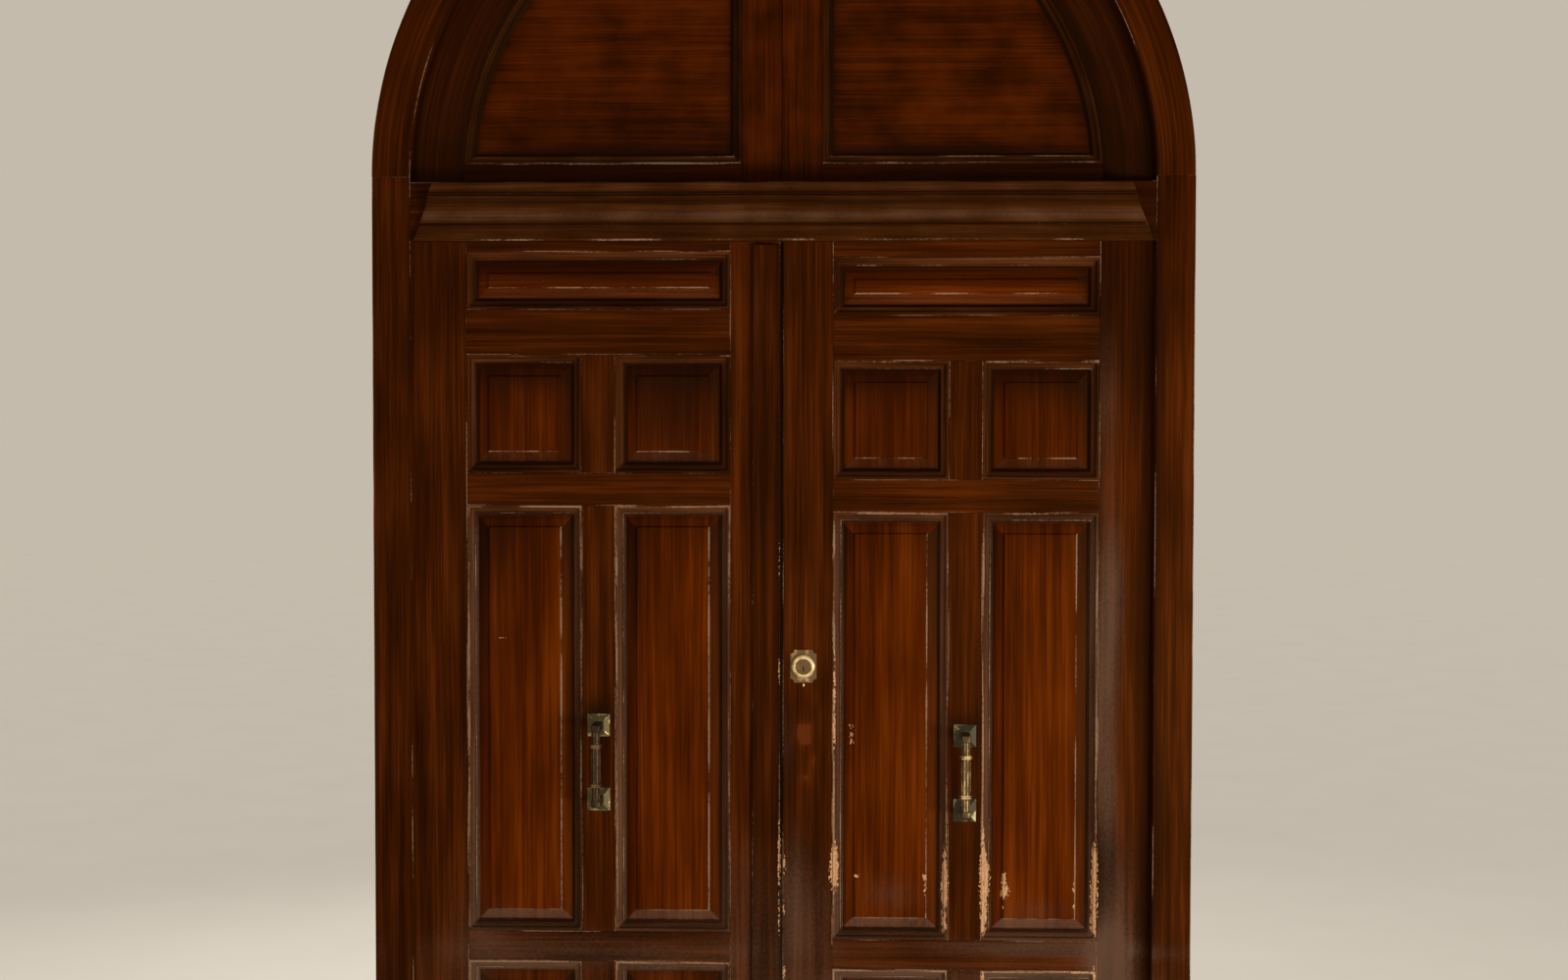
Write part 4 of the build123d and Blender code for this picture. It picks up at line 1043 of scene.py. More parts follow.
@dataclass
class Moulding:
    """A mitred panel moulding: a nosing, a hollow and a bead that fall to the panel."""

    width: float
    depth: float
    set_under: float
    seed: int
    step: float

    @staticmethod
    def faces(front: float, back: float) -> tuple[tuple[float, int, float], ...]:
        """Depth, way and spacing of the rings on a timber's outdoor and indoor face."""
        return (front, 1, 8 * MM), (back, -1, 18 * MM)

    def section(self) -> tuple[Array, Array]:
        """Closed section as inset from the opening's edge and depth under the face.

        The nosing is a quarter of a flattened circle, the hollow a sagging quarter arc and the
        bead a half arc, joined in that order; the last three points are the hidden back.

        Returns:
            The points, and how far each is exposed to wear and to painted highlights.
        """
        t = np.linspace(0.0, 1.0, 6)
        turn = t * math.pi / 2
        nosing_start, nosing_end, hollow_end, bead_end = 0.10, 0.32, 0.63, 0.84
        brow, nosing_fall, hollow_top, hollow_fall, bead_level = 0.07, 0.25, 0.32, 0.33, 0.65
        nosing_x = nosing_start + (nosing_end - nosing_start) * np.sin(turn)
        nosing_y = brow + nosing_fall * (1 - np.cos(turn))
        hollow_x = nosing_end + (hollow_end - nosing_end) * (1 - np.cos(turn[1:]))
        hollow_y = hollow_top + hollow_fall * np.sin(turn[1:])
        bead_x = hollow_end + (bead_end - hollow_end) * t[1:]
        bead_y = bead_level + 0.05 * t[1:] - 0.13 * np.sin(t[1:] * math.pi)
        across = [[0.0, 0.03, nosing_start], nosing_x[1:], hollow_x, bead_x, [0.92, 1.0, 1.0, 0.5, 0.0]]
        down = [[0.12, 0.075, brow], nosing_y[1:], hollow_y, bead_y, [0.80, 0.88, 1.0, 1.0, 1.0]]
        across, down = np.concatenate(across), np.concatenate(down)
        wear = np.zeros(len(across))
        wear[:6] = (0.8, 1.0, 1.0, 0.9, 0.5, 0.3)
        crest = len(t) + 2 + len(hollow_x) + len(bead_x) // 2
        wear[crest - 2:crest + 2] = (0.5, 0.9, 0.9, 0.5)
        points = np.stack([across * self.width, np.maximum(down * self.depth, self.set_under)], -1)
        return points, wear

    @staticmethod
    def rectangle(opening: Opening) -> list[RingSide]:
        """Lay a ring inside a rectangular opening, mitred at 45 degrees.

        Its sides are the bottom, the right, the top and the left one. The wear and painted light of
        each is that of its outer and of its inner half: most on the left and the top, least at the
        bottom, and the painted light fades from 1.4 m up.

        Args:
            opening: left, right, bottom and top of the opening.

        Returns:
            The four sides.
        """
        x0, x1, z0, z1 = opening
        corners: list[Corner] = [
            lambda t: (x0 + t, z0 + t), lambda t: (x1 - t, z0 + t),
            lambda t: (x1 - t, z1 - t), lambda t: (x0 + t, z1 - t),
        ]
        lengths = (x1 - x0, z1 - z0, x1 - x0, z1 - z0)
        lit = np.clip((2.0 - (z0 + z1) / 2) / 0.6, 0.3, 1.0)
        # Wear and painted light of the bottom, the right, the top and the left side, as if lit from the lower
        # right.
        worn = ((0.35, 0.0), (0.75 * lit, 0.3), (0.55 + 0.45 * lit, 0.9), (lit, lit))
        return [RingSide(corners[k], corners[(k + 1) % 4], lengths[k], worn[k]) for k in range(4)]

    def add_round(self, maker: MeshMaker, sides: list[RingSide], face: float, way: int) -> None:
        """Carry the section round a ring.

        On a straight side a point runs evenly between the side's two mitres at its own inset. On a
        bent side it turns evenly about the centre between the angles of those mitres. Its dust
        within reach is 0.45 below 1.46 m, and nothing above 1.56 m. A side's share of wear and
        painted light scales its wear and its dust and, where it is low, paints shade on it; the
        inner edge by the panel gets painted shade too.

        Args:
            maker: the piece that takes it.
            sides: the ring's sides in order.
            face: depth of the timber's face.
            way: 1 where the section falls towards +Y, and -1 where it falls towards -Y.
        """
        section, exposed = self.section()
        inset, down = section.T
        noise = Noise(self.seed)
        share = (inset / self.width)[None]
        xs, zs, runs, side_wear_and_light, travelled = [], [], [], [], 0.0
        for side in sides:
            stations = max(3, math.ceil(side.length / self.step))
            shares = (np.arange(stations) / stations)[:, None]
            (xa, za), (xb, zb) = side.start(inset), side.end(inset)
            if side.centre is None:
                xs.append(xa + shares * (xb - xa))
                zs.append(za + shares * (zb - za))
            else:
                cx, cz = side.centre
                first, last = np.arctan2(za - cz, xa - cx), np.arctan2(zb - cz, xb - cx)
                angle, radius = first + shares * (last - first), np.hypot(xa - cx, za - cz)
                xs.append(cx + radius * np.cos(angle))
                zs.append(cz + radius * np.sin(angle))
            runs.append(travelled + shares * side.length)
            side_wear_and_light.append(np.where(share < 0.5, *side.worn) + 0 * shares)
            travelled += side.length
        x, z, s, side_wear_and_light = (np.concatenate(part) for part in (xs, zs, runs, side_wear_and_light))
        outdoors = way > 0
        bare = marked(BARE, x, z) if outdoors else np.zeros_like(x)
        wear = exposed[None] * side_wear_and_light * (0.32 + 0.95 * noise.at(s / 0.06, inset[None] / 0.004))
        dent = 0.35 * MM * noise.at(s / 0.09, inset[None] / 0.01) * (exposed > 0)[None]
        drop = np.minimum(down[None] + dent + 1.3 * MM * np.clip(bare, 0, 1), self.depth)
        y = face + way * np.where(exposed[None] > 0, drop, down[None])
        grain = np.stack(np.broadcast_arrays(inset[None], down[None], s), -1) + grain_offset(self.seed)
        within_reach = 0.45 * np.clip((1.56 - z) / 0.1, 0, 1)
        # Dust, paler on the sides with more painted light.
        haze = (marked(HAZE, x, z) + low_dust(z) + within_reach) * (0.5 + 0.5 * side_wear_and_light)
        # Painted shade on the inner edge by the panel and on the dim sides, over the soot marks.
        soot = marked(SOOT_AND_SHADOW, x, z) * 0.5 + 1.1 * np.clip((share - 0.74) / 0.1, 0, 1) + 0.62 * (1 - side_wear_and_light)
        layers = {
            "wear": wear, "bare": bare, "haze": np.clip(haze, 0, 1) * outdoors, "soot": np.clip(soot, -1, 1),
        }
        maker.tube(np.stack([x, y, z], -1), grain, layers, ring=True)


@dataclass
class Leaf:
    """One door leaf: stiles, rails, muntins, raised panels and mitred mouldings."""

    side: Side
    finishes: Finishes
    arris: float = 0.9 * MM
    groove: float = 10 * MM
    face_step: float = 7 * MM
    moulding_width: float = 19 * MM
    moulding_set: float = 1 * MM
    tongue_half: float = 8.5 * MM
    bevel_width: float = 21 * MM
    bevel_rise: float = 6 * MM
    field_step: float = 4 * MM
    chamfer: float = 1.6 * MM
    rail_seed: int = 10
    muntin_seed: int = 20
    panel_seed: int = 30
    moulding_seed: int = 50
    low: dict[str, Array] = field(init=False)
    high: dict[str, Array] = field(init=False)

    def __post_init__(self) -> None:
        """Read the members' corners from the frame."""
        self.low, self.high = {}, {}
        for member in (*STILES, "muntins", *RAILS):
            self.low[member], self.high[member] = corners_of(self.node(member))
        self.front, self.back = self.low["muntins"][1], self.high["muntins"][1]
        self.middle = (self.front + self.back) / 2
        self.foot = self.moulding_width + self.bevel_width

    @property
    def body(self) -> str:
        """The CAD body of the leaf."""
        return f"{self.side.word}_leaf"

    def node(self, member: str) -> str:
        """Name of a member's CAD node."""
        return f"{self.side.word}_{member}"

    def seed(self, index: int) -> int:
        """A fixed seed for one timber."""
        return 100 * (self.side.value + 2) + index

    def squared(
        self, member: str, axis: int, grooved: tuple[bool, bool], depths: Sequence[float] = (),
    ) -> Section:
        """Section of one member, cut from its CAD box.

        Args:
            member: the member.
            axis: the axis across its grain, 0 for X and 2 for Z.
            grooved: whether its low and its high edge have a groove.
            depths: more depths to sample on its edges.

        Returns:
            The section.
        """
        low, high = self.low[member], self.high[member]
        return box_section(
            low[axis], high[axis], low[1], high[1], self.arris, self.face_step, self.groove, grooved, depths,
        )

    def columns(self) -> tuple[tuple[float, float], tuple[float, float]]:
        """Left and right edge of each column of openings, between the stiles and the muntins."""
        first, last = STILES[::-self.side.value]
        return (self.high[first][0], self.low["muntins"][0]), (self.high["muntins"][0], self.low[last][0])

    def rows(self) -> dict[str, tuple[float, float]]:
        """Bottom and top of each row of openings, between the rails."""
        ends = ((self.high[below][2], self.low[above][2]) for below, above in zip(RAILS, RAILS[1:]))
        return dict(zip(ROWS, ends))

    def openings(self, row: str) -> list[Opening]:
        """Left, right, bottom and top of each opening of one row: the top row has one wide one."""
        left, right = self.columns()
        spans = [(left[0], right[1])] if row == "top" else [left, right]
        return [(*span, *self.rows()[row]) for span in spans]

    def stile_recesses(self, member: str) -> list[Recess]:
        """Pockets of a stile's edge, let in for its hinges, the lock's face plate or the strike.

        Args:
            member: the stile.

        Returns:
            The pockets.
        """
        side = self.side.value
        if member == "hinge_stile":
            return [HINGE.recess(side, self.high[member][1], z) for z in HINGE.levels()]
        if self.side is Side.RIGHT:
            low, high = corners_of("lock_case")
            middle, half, plate = (low[1] + high[1]) / 2, 10 * MM, 3 * MM
            return [Recess(-side, middle - half, middle + half, low[2], high[2], plate)]
        low, high = corners_of("strike_plate")
        bolt_low, bolt_high = corners_of("lock_bolt")
        room, plate, hole = 1 * MM, 2 * MM, 17 * MM
        return [
            Recess(-side, low[1], high[1], low[2], high[2], plate),
            Recess(-side, bolt_low[1] - room, bolt_high[1] + room, bolt_low[2] - room, bolt_high[2] + room,
                   hole),
        ]

    def build_stiles(self) -> None:
        """Stiles, upright from the leaf's bottom to its top, grooved on their inner edges."""
        for index, member in enumerate(STILES):
            bottom, top = self.low[member][2], self.high[member][2]
            inner_is_high = (member == "hinge_stile") == (self.side is Side.LEFT)
            recesses = self.stile_recesses(member)
            depths = [depth for recess in recesses for depth in recess.lines()[0]]
            section = self.squared(member, 0, (not inner_is_high, inner_is_high), depths)
            stile = Timber(section, Run.UP, bottom, top, self.seed(index), recesses)
            lay_timbers(self.node(member), self.finishes.timber, self.body, stile)

    def build_rails(self) -> None:
        """Rails from stile to stile, with the grain across."""
        left, right = self.columns()
        for index, member in enumerate(RAILS):
            section = self.squared(member, 2, (member != RAILS[0], member != RAILS[-1]))
            rail = Timber(section, Run.ACROSS, left[0], right[1], self.seed(self.rail_seed + index))
            lay_timbers(self.node(member), self.finishes.timber, self.body, rail)

    def build_muntins(self) -> None:
        """The three muntins between the panels."""
        muntins = [
            Timber(self.squared("muntins", 0, (True, True)), Run.UP, *self.rows()[row],
                   self.seed(self.muntin_seed + index))
            for index, row in enumerate(ROWS[:-1])
        ]
        lay_timbers(self.node("muntins"), self.finishes.timber, self.body, *muntins)

    def panel_lines(self, low: float, high: float, marks: Sequence[tuple[float, float]]) -> Array:
        """Grid lines over a panel.

        Args:
            low, high: edges of its opening.
            marks: middle and half size of every mark on it, each of which gets seven lines.

        Returns:
            The lines: the bevel and the step exactly, the marks, and the field every 12 mm.
        """
        edge, foot = self.moulding_width, self.foot
        beside, beyond, field_spacing = 0.8 * MM, 2 * MM, 12 * MM
        inside = foot + 5 * MM
        slope = np.linspace(edge, foot - self.chamfer, 6)
        brink = foot - self.chamfer - beside
        insets = np.array([0.0, edge - beyond, *slope, brink, foot, foot + beside, foot + beyond, inside])
        count = max(3, math.ceil((high - low - 2 * foot) / field_spacing))
        lines = [low + insets, high - insets, np.linspace(low + inside, high - inside, count)]
        for middle, half in marks:
            near = middle + half * np.linspace(-1.5, 1.5, 7)
            lines.append(near[(near > low + inside) & (near < high - inside)])
        return np.unique(np.concatenate(lines).round(5))

    def add_panel(self, maker: MeshMaker, opening: Opening, seed: int, row: str) -> None:
        """Add one raised and fielded panel.

        The height over the margin depends on d, the distance to the nearest side of the opening:
        it climbs evenly over the bevel, steps up at the field, and swells there by a little noise.

        Args:
            maker: the piece that takes it.
            opening: left, right, bottom and top of its opening.
            seed: seed of its grain and swelling.
            row: its row, which sets the way of its grain, its wear and its darkness.
        """
        x0, x1, z0, z1 = opening
        held = [mark for mark in BARE if x0 < mark.x < x1 and z0 < mark.z < z1]
        x, z = np.meshgrid(
            self.panel_lines(x0, x1, [(mark.x, mark.half_width) for mark in held]),
            self.panel_lines(z0, z1, [(mark.z, mark.half_height) for mark in held]),
        )
        d = np.minimum(np.minimum(x - x0, x1 - x), np.minimum(z - z0, z1 - z))
        climb = np.clip((d - self.moulding_width) / self.bevel_width, 0, 1) * self.bevel_rise
        step = self.field_step * np.clip((d - self.foot + self.chamfer) / self.chamfer, 0, 1)
        noise = Noise(seed)
        along, across = (x, z) if row == "top" else (z, x)
        swell = 0.35 * MM * noise.at(across / 0.04, along / 0.25)
        rounded = 0.35 * MM * np.clip(1 - np.abs(d - self.foot) / (0.8 * MM), 0, 1)
        bare = marked(BARE, x, z)
        rise = climb + step - swell - rounded - CHIP_DEPTH * np.clip(bare, 0, 1)
        front = np.stack([x, self.middle - self.tongue_half - np.maximum(rise, -0.3 * MM), z], -1)
        back = np.stack([x, self.middle + self.tongue_half + np.maximum(climb + step - rounded, 0), z], -1)
        grain = np.stack([across, np.full_like(x, self.middle), along], -1) + grain_offset(seed)
        strength = 0.55 + 0.75 * noise.at(along / 0.05, across / 0.02)
        maker.slab(front, back, grain, {"bare": bare, **self.panel_layers(opening, row, x, z, d, strength)})

    def panel_layers(
        self, opening: Opening, row: str, x: Array, z: Array, d: Array, strength: Array,
    ) -> Layers:
        """Work out a panel's wear and painted highlights, dust and painted light, and soot and painted shade.

        Wear follows the step round the field as exp(-t^2 / 2), with painted highlights that make it most
        on its right and its bottom. Dust marks and low dust are laid on, and painted light from below
        lies on the bottom bevel. Soot marks are laid on too, and painted shade fills the margin as
        exp(-t) and darkens the top of the field, the upper rows and the bevels by the side that they
        are on.

        Args:
            opening: left, right, bottom and top of its opening.
            row: its row.
            x, z: the points.
            d: their distance to the nearest side of the opening.
            strength: the noise that breaks up the wear.

        Returns:
            The layers.
        """
        x0, x1, z0, z1 = opening
        edge, foot, near = self.moulding_width, self.foot, 1e-7
        high_row = row in ("top", "square")
        bevel = np.clip((d - edge) / (3 * MM), 0, 1) * np.clip((foot - d) / (2 * MM), 0, 1)
        below, above = (d >= z - z0 - near) & (d < foot), (d >= z1 - z - near) & (d < foot)
        rightmost, lowest = x1 - x <= d + 10 * near, z - z0 <= d + 10 * near
        # Painted highlights on the field's step, strongest on its right and its bottom.
        lit_right, lit_low = (0.20, 0.74) if high_row else (0.85, 0.70)
        lit = 0.30 + 1.15 * lit_right * rightmost + lit_low * lowest * ~rightmost
        wear = np.exp(-((d - foot + self.chamfer / 2) / (1.3 * MM)) ** 2 / 2) * lit * strength
        # Painted light from below on the bottom bevel, laid in the dust layer.
        lit_bottom_bevel = 0.62 * bevel * below * np.clip((1.75 - z) / 0.9, 0.4, 1)
        haze = marked(HAZE, x, z) + low_dust(z) * 0.7 + lit_bottom_bevel
        # Painted shade in the margin by the moulding.
        margin = np.exp(-np.abs(d - edge) / (4 * MM))
        shade = np.exp(-np.maximum(z1 - foot - z, 0) / (0.16 * (z1 - z0))) * ~above
        # Painted shade on the bevels by the side that they face.
        dark_left, dark_right, dark_low = (-0.15, 0.05, 0.12) if high_row else (0.24, 0.40, 0.2)
        bevel_shade = bevel * (0.38 * above + dark_left * ~(above | below | rightmost))
        bevel_shade = bevel_shade + bevel * (dark_right * rightmost + dark_low * below) * ~above
        # Painted shade on the upper rows, away from the light from below.
        darker = {"top": 0.10, "square": 0.36}.get(row, 0.0)
        soot = marked(SOOT_AND_SHADOW, x, z) + 0.5 * margin + bevel_shade + 0.5 * shade + darker
        return {"wear": wear, "haze": np.clip(haze, 0, 1), "soot": np.clip(soot, -1, 1)}

    def build_panels(self) -> None:
        """The panels of each CAD node."""
        groups = {"upper_panels": ("top", "square"), "tall_panels": ("tall",), "lower_panels": ("lower",)}
        index = self.panel_seed
        for name, rows in groups.items():
            maker = MeshMaker(f"{self.node(name)}_raised")
            for row in rows:
                for opening in self.openings(row):
                    self.add_panel(maker, opening, self.seed(index), row)
                    index += 1
            place(maker.write(self.finishes.panel, 20.0), self.body, "panel_wood", self.node(name))

    def build_mouldings(self) -> None:
        """Mitred mouldings round every opening, on both faces."""
        node = self.node("panel_mouldings")
        maker = MeshMaker(f"{node}_mitred")
        index = self.moulding_seed
        for row in self.rows():
            for opening in self.openings(row):
                for face, way, step in Moulding.faces(self.front, self.back):
                    depth = abs(self.middle - face) - self.tongue_half
                    ring = Moulding(self.moulding_width, depth, self.moulding_set, self.seed(index), step)
                    ring.add_round(maker, Moulding.rectangle(opening), face, way)
                    index += 1
        place(maker.write(self.finishes.trim, 40.0), self.body, "varnished_wood", node)

    def build(self) -> None:
        """Build and dress the whole leaf."""
        self.build_stiles()
        self.build_rails()
        self.build_muntins()
        self.build_panels()
        self.build_mouldings()


@dataclass
class DoorFrame:
    """The frame: jambs, arched head, threshold, transom and cornice, with the astragal."""

    finishes: Finishes
    arris: float = 0.9 * MM
    face_step: float = 8 * MM
    rebate: float = 14 * MM

    def __post_init__(self) -> None:
        """Read the depths and levels that the pieces share."""
        low, high = corners_of("left_jamb")
        self.front, self.back = low[1], high[1]
        self.stop = corners_of("tympanum_stile_left")[0][1]
        self.spring = high[2]
        self.sight, self.outside = -high[0], -low[0]

    def rebated(self, side: int, depths: Sequence[float] = ()) -> Section:
        """L-shaped section with its rebate at the back of the inner edge.

        Args:
            side: the way from the inner edge to the outer one.
            depths: more depths to sample on its edges.

        Returns:
            The section.
        """
        inner, shoulder, outer = side * self.sight, side * (self.sight + self.rebate), side * self.outside
        corners = [(inner, self.front), (outer, self.front), (outer, self.back), (shoulder, self.back),
                   (shoulder, self.stop), (inner, self.stop)]
        return Section.cut(corners, self.arris, self.face_step, depths)

    def lay_across(self, node: str, corners: Outline, seed: int, grime: float) -> None:
        """Lay a cross member that reaches further behind the stop, into the rebates.

        Args:
            node: its CAD node.
            corners: its section, as level and depth.
            seed: seed of its grain.
            darkening: how much darker it is all over.
        """
        section = Section.cut(corners, self.arris, self.face_step)
        behind = section.points[:, 1] > self.stop + 0.2 * MM
        reach = np.where(behind, self.sight + self.rebate, self.sight)
        member = Timber(section, Run.ACROSS, -reach, reach, seed, grime=grime)
        lay_timbers(node, self.finishes.timber, "frame", member)

    def build_jambs(self) -> None:
        """Jambs, with the gains for the hinge plates in their rebates."""
        for side in Side:
            recesses = [HINGE.recess(-side.value, self.back, z) for z in HINGE.levels()]
            section = self.rebated(side.value, recesses[0].lines()[0])
            jamb = Timber(section, Run.UP, 0.0, self.spring, Seed.JAMB + side.value, recesses)
            lay_timbers(f"{side.word}_jamb", self.finishes.timber, "frame", jamb)

    def build_head(self) -> None:
        """The two curved halves of the arched head, each a quarter turn."""
        for side in Side:
            half = Timber(self.rebated(1), Run.ROUND, 0.0, math.pi / 2, Seed.HEAD + side.value,
                          side=side.value, spring=self.spring)
            lay_timbers(f"arch_head_{side.word}", self.finishes.timber, "frame", half)

    def build_threshold(self) -> None:
        """Threshold, with its front edge falling outwards."""
        top = corners_of("threshold")[1][2]
        fall, run = 8 * MM, 20 * MM
        corners = [(0.0, self.front), (top - fall, self.front), (top, self.front + run),
                   (top, self.back), (0.0, self.back)]
        self.lay_across("threshold", corners, Seed.THRESHOLD, 0.3)

    def build_transom(self) -> None:
        """Transom, rebated at the back for the leaves below and the tympanum above."""
        low, high = (corner[2] for corner in corners_of("transom"))
        corners = [(low, self.front), (high, self.front), (high, self.stop),
                   (high - self.rebate, self.stop), (high - self.rebate, self.back),
                   (low + self.rebate, self.back), (low + self.rebate, self.stop), (low, self.stop)]
        self.lay_across("transom", corners, Seed.TRANSOM, 0.2)

    def build_cornice(self) -> None:
        """Cornice: fascia, step, cove, quirk and crown, with raked ends.

        The cove is a quarter ellipse: from its foot, depth falls as 1 - cos and height rises as
        sin of the turn. An end at height h stands the foot's half length less h times the slant.
        """
        low, high = corners_of("cornice")
        bottom, top = low[2], high[2]
        foot, slant = high[0], 43 * MM / (top - bottom)
        fascia, step_y, lip, quirk, crown = (10 * MM, 14 * MM, 42 * MM, 3 * MM, 47 * MM)
        fascia_top, cove_foot, cove_top, crown_foot = (27 * MM, 29 * MM, 78 * MM, 81 * MM)
        cove = [
            (bottom + cove_foot + (cove_top - cove_foot) * math.sin(turn),
             self.front - step_y - (lip - step_y) * (1 - math.cos(turn)))
            for turn in np.radians(np.linspace(0, 90, 12))
        ]
        fascia_face, quirk_face = self.front - fascia, self.front - lip + quirk
        corners = [
            (bottom, self.front), (bottom, fascia_face), (bottom + fascia_top, fascia_face),
            *cove, (bottom + cove_top, quirk_face), (bottom + crown_foot, quirk_face),
            (bottom + crown_foot, self.front - crown), (top, self.front - crown), (top, self.front),
        ]
        section = Section.cut(corners, 0.5 * MM, 4 * MM)
        level, depth = section.points.T
        # The fascia's bottom arris is worn and has a painted highlight; the other arrises get less.
        rubbed = (np.abs(depth - fascia_face) < 0.6 * MM) & (level < bottom + 3 * MM)
        section = Section(section.points, section.normals, np.where(rubbed, 0.85, section.wear * 0.62))
        half_length = foot - slant * (level - bottom)
        maker = MeshMaker("cornice_moulded")
        Timber(section, Run.ACROSS, -half_length, half_length, Seed.CORNICE, rounding=0.6 * MM,
               moulded=True).add_to(maker)
        place(maker.write(self.finishes.crown, 28.0), "frame", "varnished_wood", "cornice")

    def build_astragal(self) -> None:
        """Cover strip on the left leaf's meeting edge."""
        low, high = corners_of("astragal")
        section = box_section(low[0], high[0], low[1], high[1], 1.4 * MM, 5 * MM)
        strip = Timber(section, Run.UP, low[2], high[2], Seed.ASTRAGAL, grime=0.35, worn=0.7)
        lay_timbers("astragal", self.finishes.timber, "left_leaf", strip)

    def build(self) -> None:
        """Build and dress the frame."""
        self.build_jambs()
        self.build_head()
        self.build_threshold()
        self.build_transom()
        self.build_cornice()
        self.build_astragal()


def half_chord(radius: Union[float, Array], off: Union[float, Array]) -> Array:
    """Half length of a circle's chord at a distance off its centre: sqrt(r^2 - off^2)."""
    return np.sqrt(np.maximum(radius**2 - off**2, 0))


@dataclass
class Tympanum:
    """The fixed half-round light of wood over the leaves: two quadrants of frame and flat panel."""

    finishes: Finishes
    spring: float
    arris: float = 1.1 * MM
    face_step: float = 8 * MM
    moulding_width: float = 20 * MM
    moulding_set: float = 1 * MM
    tongue_half: float = 8.5 * MM

    def __post_init__(self) -> None:
        """Read the radii and levels from the CAD nodes."""
        low, high = corners_of("tympanum_stile_right")
        rail_high = corners_of("tympanum_bottom_rails")[1]
        self.front, self.back = low[1], high[1]
        self.bottom, self.foot = low[2], rail_high[2]
        self.joint, self.stile = low[0], high[0]
        self.radius = corners_of("tympanum_curved_rail_right")[1][0]
        self.open_radius = rail_high[0]
        self.middle = (self.front + self.back) / 2

    def squared(self, low: float, high: float) -> Section:
        """Section of a timber as deep as the frame, between two edges."""
        return box_section(low, high, self.front, self.back, self.arris, self.face_step)

    def build_stiles(self) -> None:
        """Stiles, cut to the arch at the top: height = springing + sqrt(R^2 - x^2)."""
        for side in Side:
            section = self.squared(*sorted((side.value * self.joint, side.value * self.stile)))
            top = self.spring + half_chord(self.radius, section.across)
            stile = Timber(section, Run.UP, self.bottom, top, Seed.STILE + side.value, worn=0.55)
            lay_timbers(f"tympanum_stile_{side.word}", self.finishes.tympanum, "frame", stile)

    def build_joint_tongue(self) -> None:
        """Near-black tongue of painted shade between the two stiles, that closes their joint to the light."""
        half, front, inset = self.joint - 0.05 * MM, self.front + 6 * MM, 1 * MM
        section = box_section(-half, half, front, front + 8 * MM, 0.1 * MM, 4 * MM)
        maker = MeshMaker("tympanum_joint_tongue")
        Timber(section, Run.UP, self.bottom + inset, self.spring + self.radius - inset, Seed.TONGUE,
               hollow=0.0, rounding=0.1 * MM, step=40 * MM).add_to(maker)
        place(maker.write(self.finishes.seal), "frame", "varnished_wood")

    def build_curved_rails(self) -> None:
        """Curved rails: each radius r turns from the foot's angle to the one where it meets the stile."""
        section = self.squared(self.open_radius, self.radius)
        start = np.arcsin((self.bottom - self.spring) / section.across)
        end = np.arccos(self.stile / section.across)
        for side in Side:
            rail = Timber(section, Run.ROUND, start, end, Seed.CURVED_RAIL + side.value,
                          side=side.value, spring=self.spring, grime=0.62, worn=0.6)
            lay_timbers(f"tympanum_curved_rail_{side.word}", self.finishes.timber, "frame", rail)

    def build_bottom_rails(self) -> None:
        """Bottom rails, scribed to the curved rails: half length = sqrt(r^2 - (z - springing)^2)."""
        section = self.squared(self.bottom, self.foot)
        near, far = self.stile, half_chord(self.open_radius, section.across - self.spring)
        spans = {Side.LEFT: (-far, -near), Side.RIGHT: (near, far)}
        rails = [
            Timber(section, Run.ACROSS, *span, Seed.BOTTOM_RAIL + side.value, worn=0.5)
            for side, span in spans.items()
        ]
        lay_timbers("tympanum_bottom_rails", self.finishes.timber, "frame", *rails)

    def build_panels(self) -> None:
        """Flat panels, with the grain across.

        Rows are levels from the foot to the crown. On each level the panel runs from the stile to
        sqrt(r^2 - (z - springing)^2), so its outer edge follows the arch.
        """
        crown = self.spring + half_chord(self.open_radius, self.stile + 4 * MM)
        rise, shares = np.linspace(0, 1, 60), np.linspace(0, 1, 48)
        levels = self.foot + (crown - self.foot) * (1 - (1 - rise) ** 1.4)
        for side in Side:
            z = np.repeat(levels[:, None], len(shares), axis=1)
            far = half_chord(self.open_radius, z - self.spring)
            x = side.value * (self.stile + shares[None] * (far - self.stile))
            dip = 0.5 * MM * Noise(Seed.FLAT_PANEL + side.value).at(z / 0.05, x / 0.3)
            front = np.stack([x, self.middle - self.tongue_half + dip, z], -1)
            back = np.stack([x, np.full_like(x, self.middle + self.tongue_half), z], -1)
            grain = np.stack([z, np.full_like(x, self.middle), x], -1)
            grain = grain + grain_offset(Seed.FLAT_GRAIN + side.value)
            straight = np.minimum(np.abs(x) - self.stile, z - self.foot)
            near_edge = np.minimum(straight, self.open_radius - np.hypot(x, z - self.spring))
            # Painted shade along the moulding round the panel, over the soot marks.
            soot = marked(SOOT_AND_SHADOW, x, z) + 0.55 * np.exp(-(near_edge - self.moulding_width) / (14 * MM))
            node = f"tympanum_panel_{side.word}"
            maker = MeshMaker(f"{node}_flat")
            maker.slab(front, back, grain, {"soot": np.clip(soot, -1, 1)})
            place(maker.write(self.finishes.tympanum), "frame", "panel_wood", node)

    def ring(self, side: int) -> list[RingSide]:
        """Lay a ring in a quadrant: along the rail, round the arch and down the stile.

        At an inset t the rail's line stands at foot + t, the stile's at stile + t, and the arch's
        radius is r - t, so that a corner on the arch is half its chord away.

        Args:
            side: -1 for the left quadrant and 1 for the right one.

        Returns:
            The three sides.
        """
        spring, r = self.spring, self.open_radius
        corners: list[Corner] = [
            lambda t: (side * (self.stile + t), self.foot + t),
            lambda t: (side * half_chord(r - t, self.foot + t - spring), self.foot + t),
            lambda t: (side * (self.stile + t), spring + half_chord(r - t, self.stile + t)),
        ]
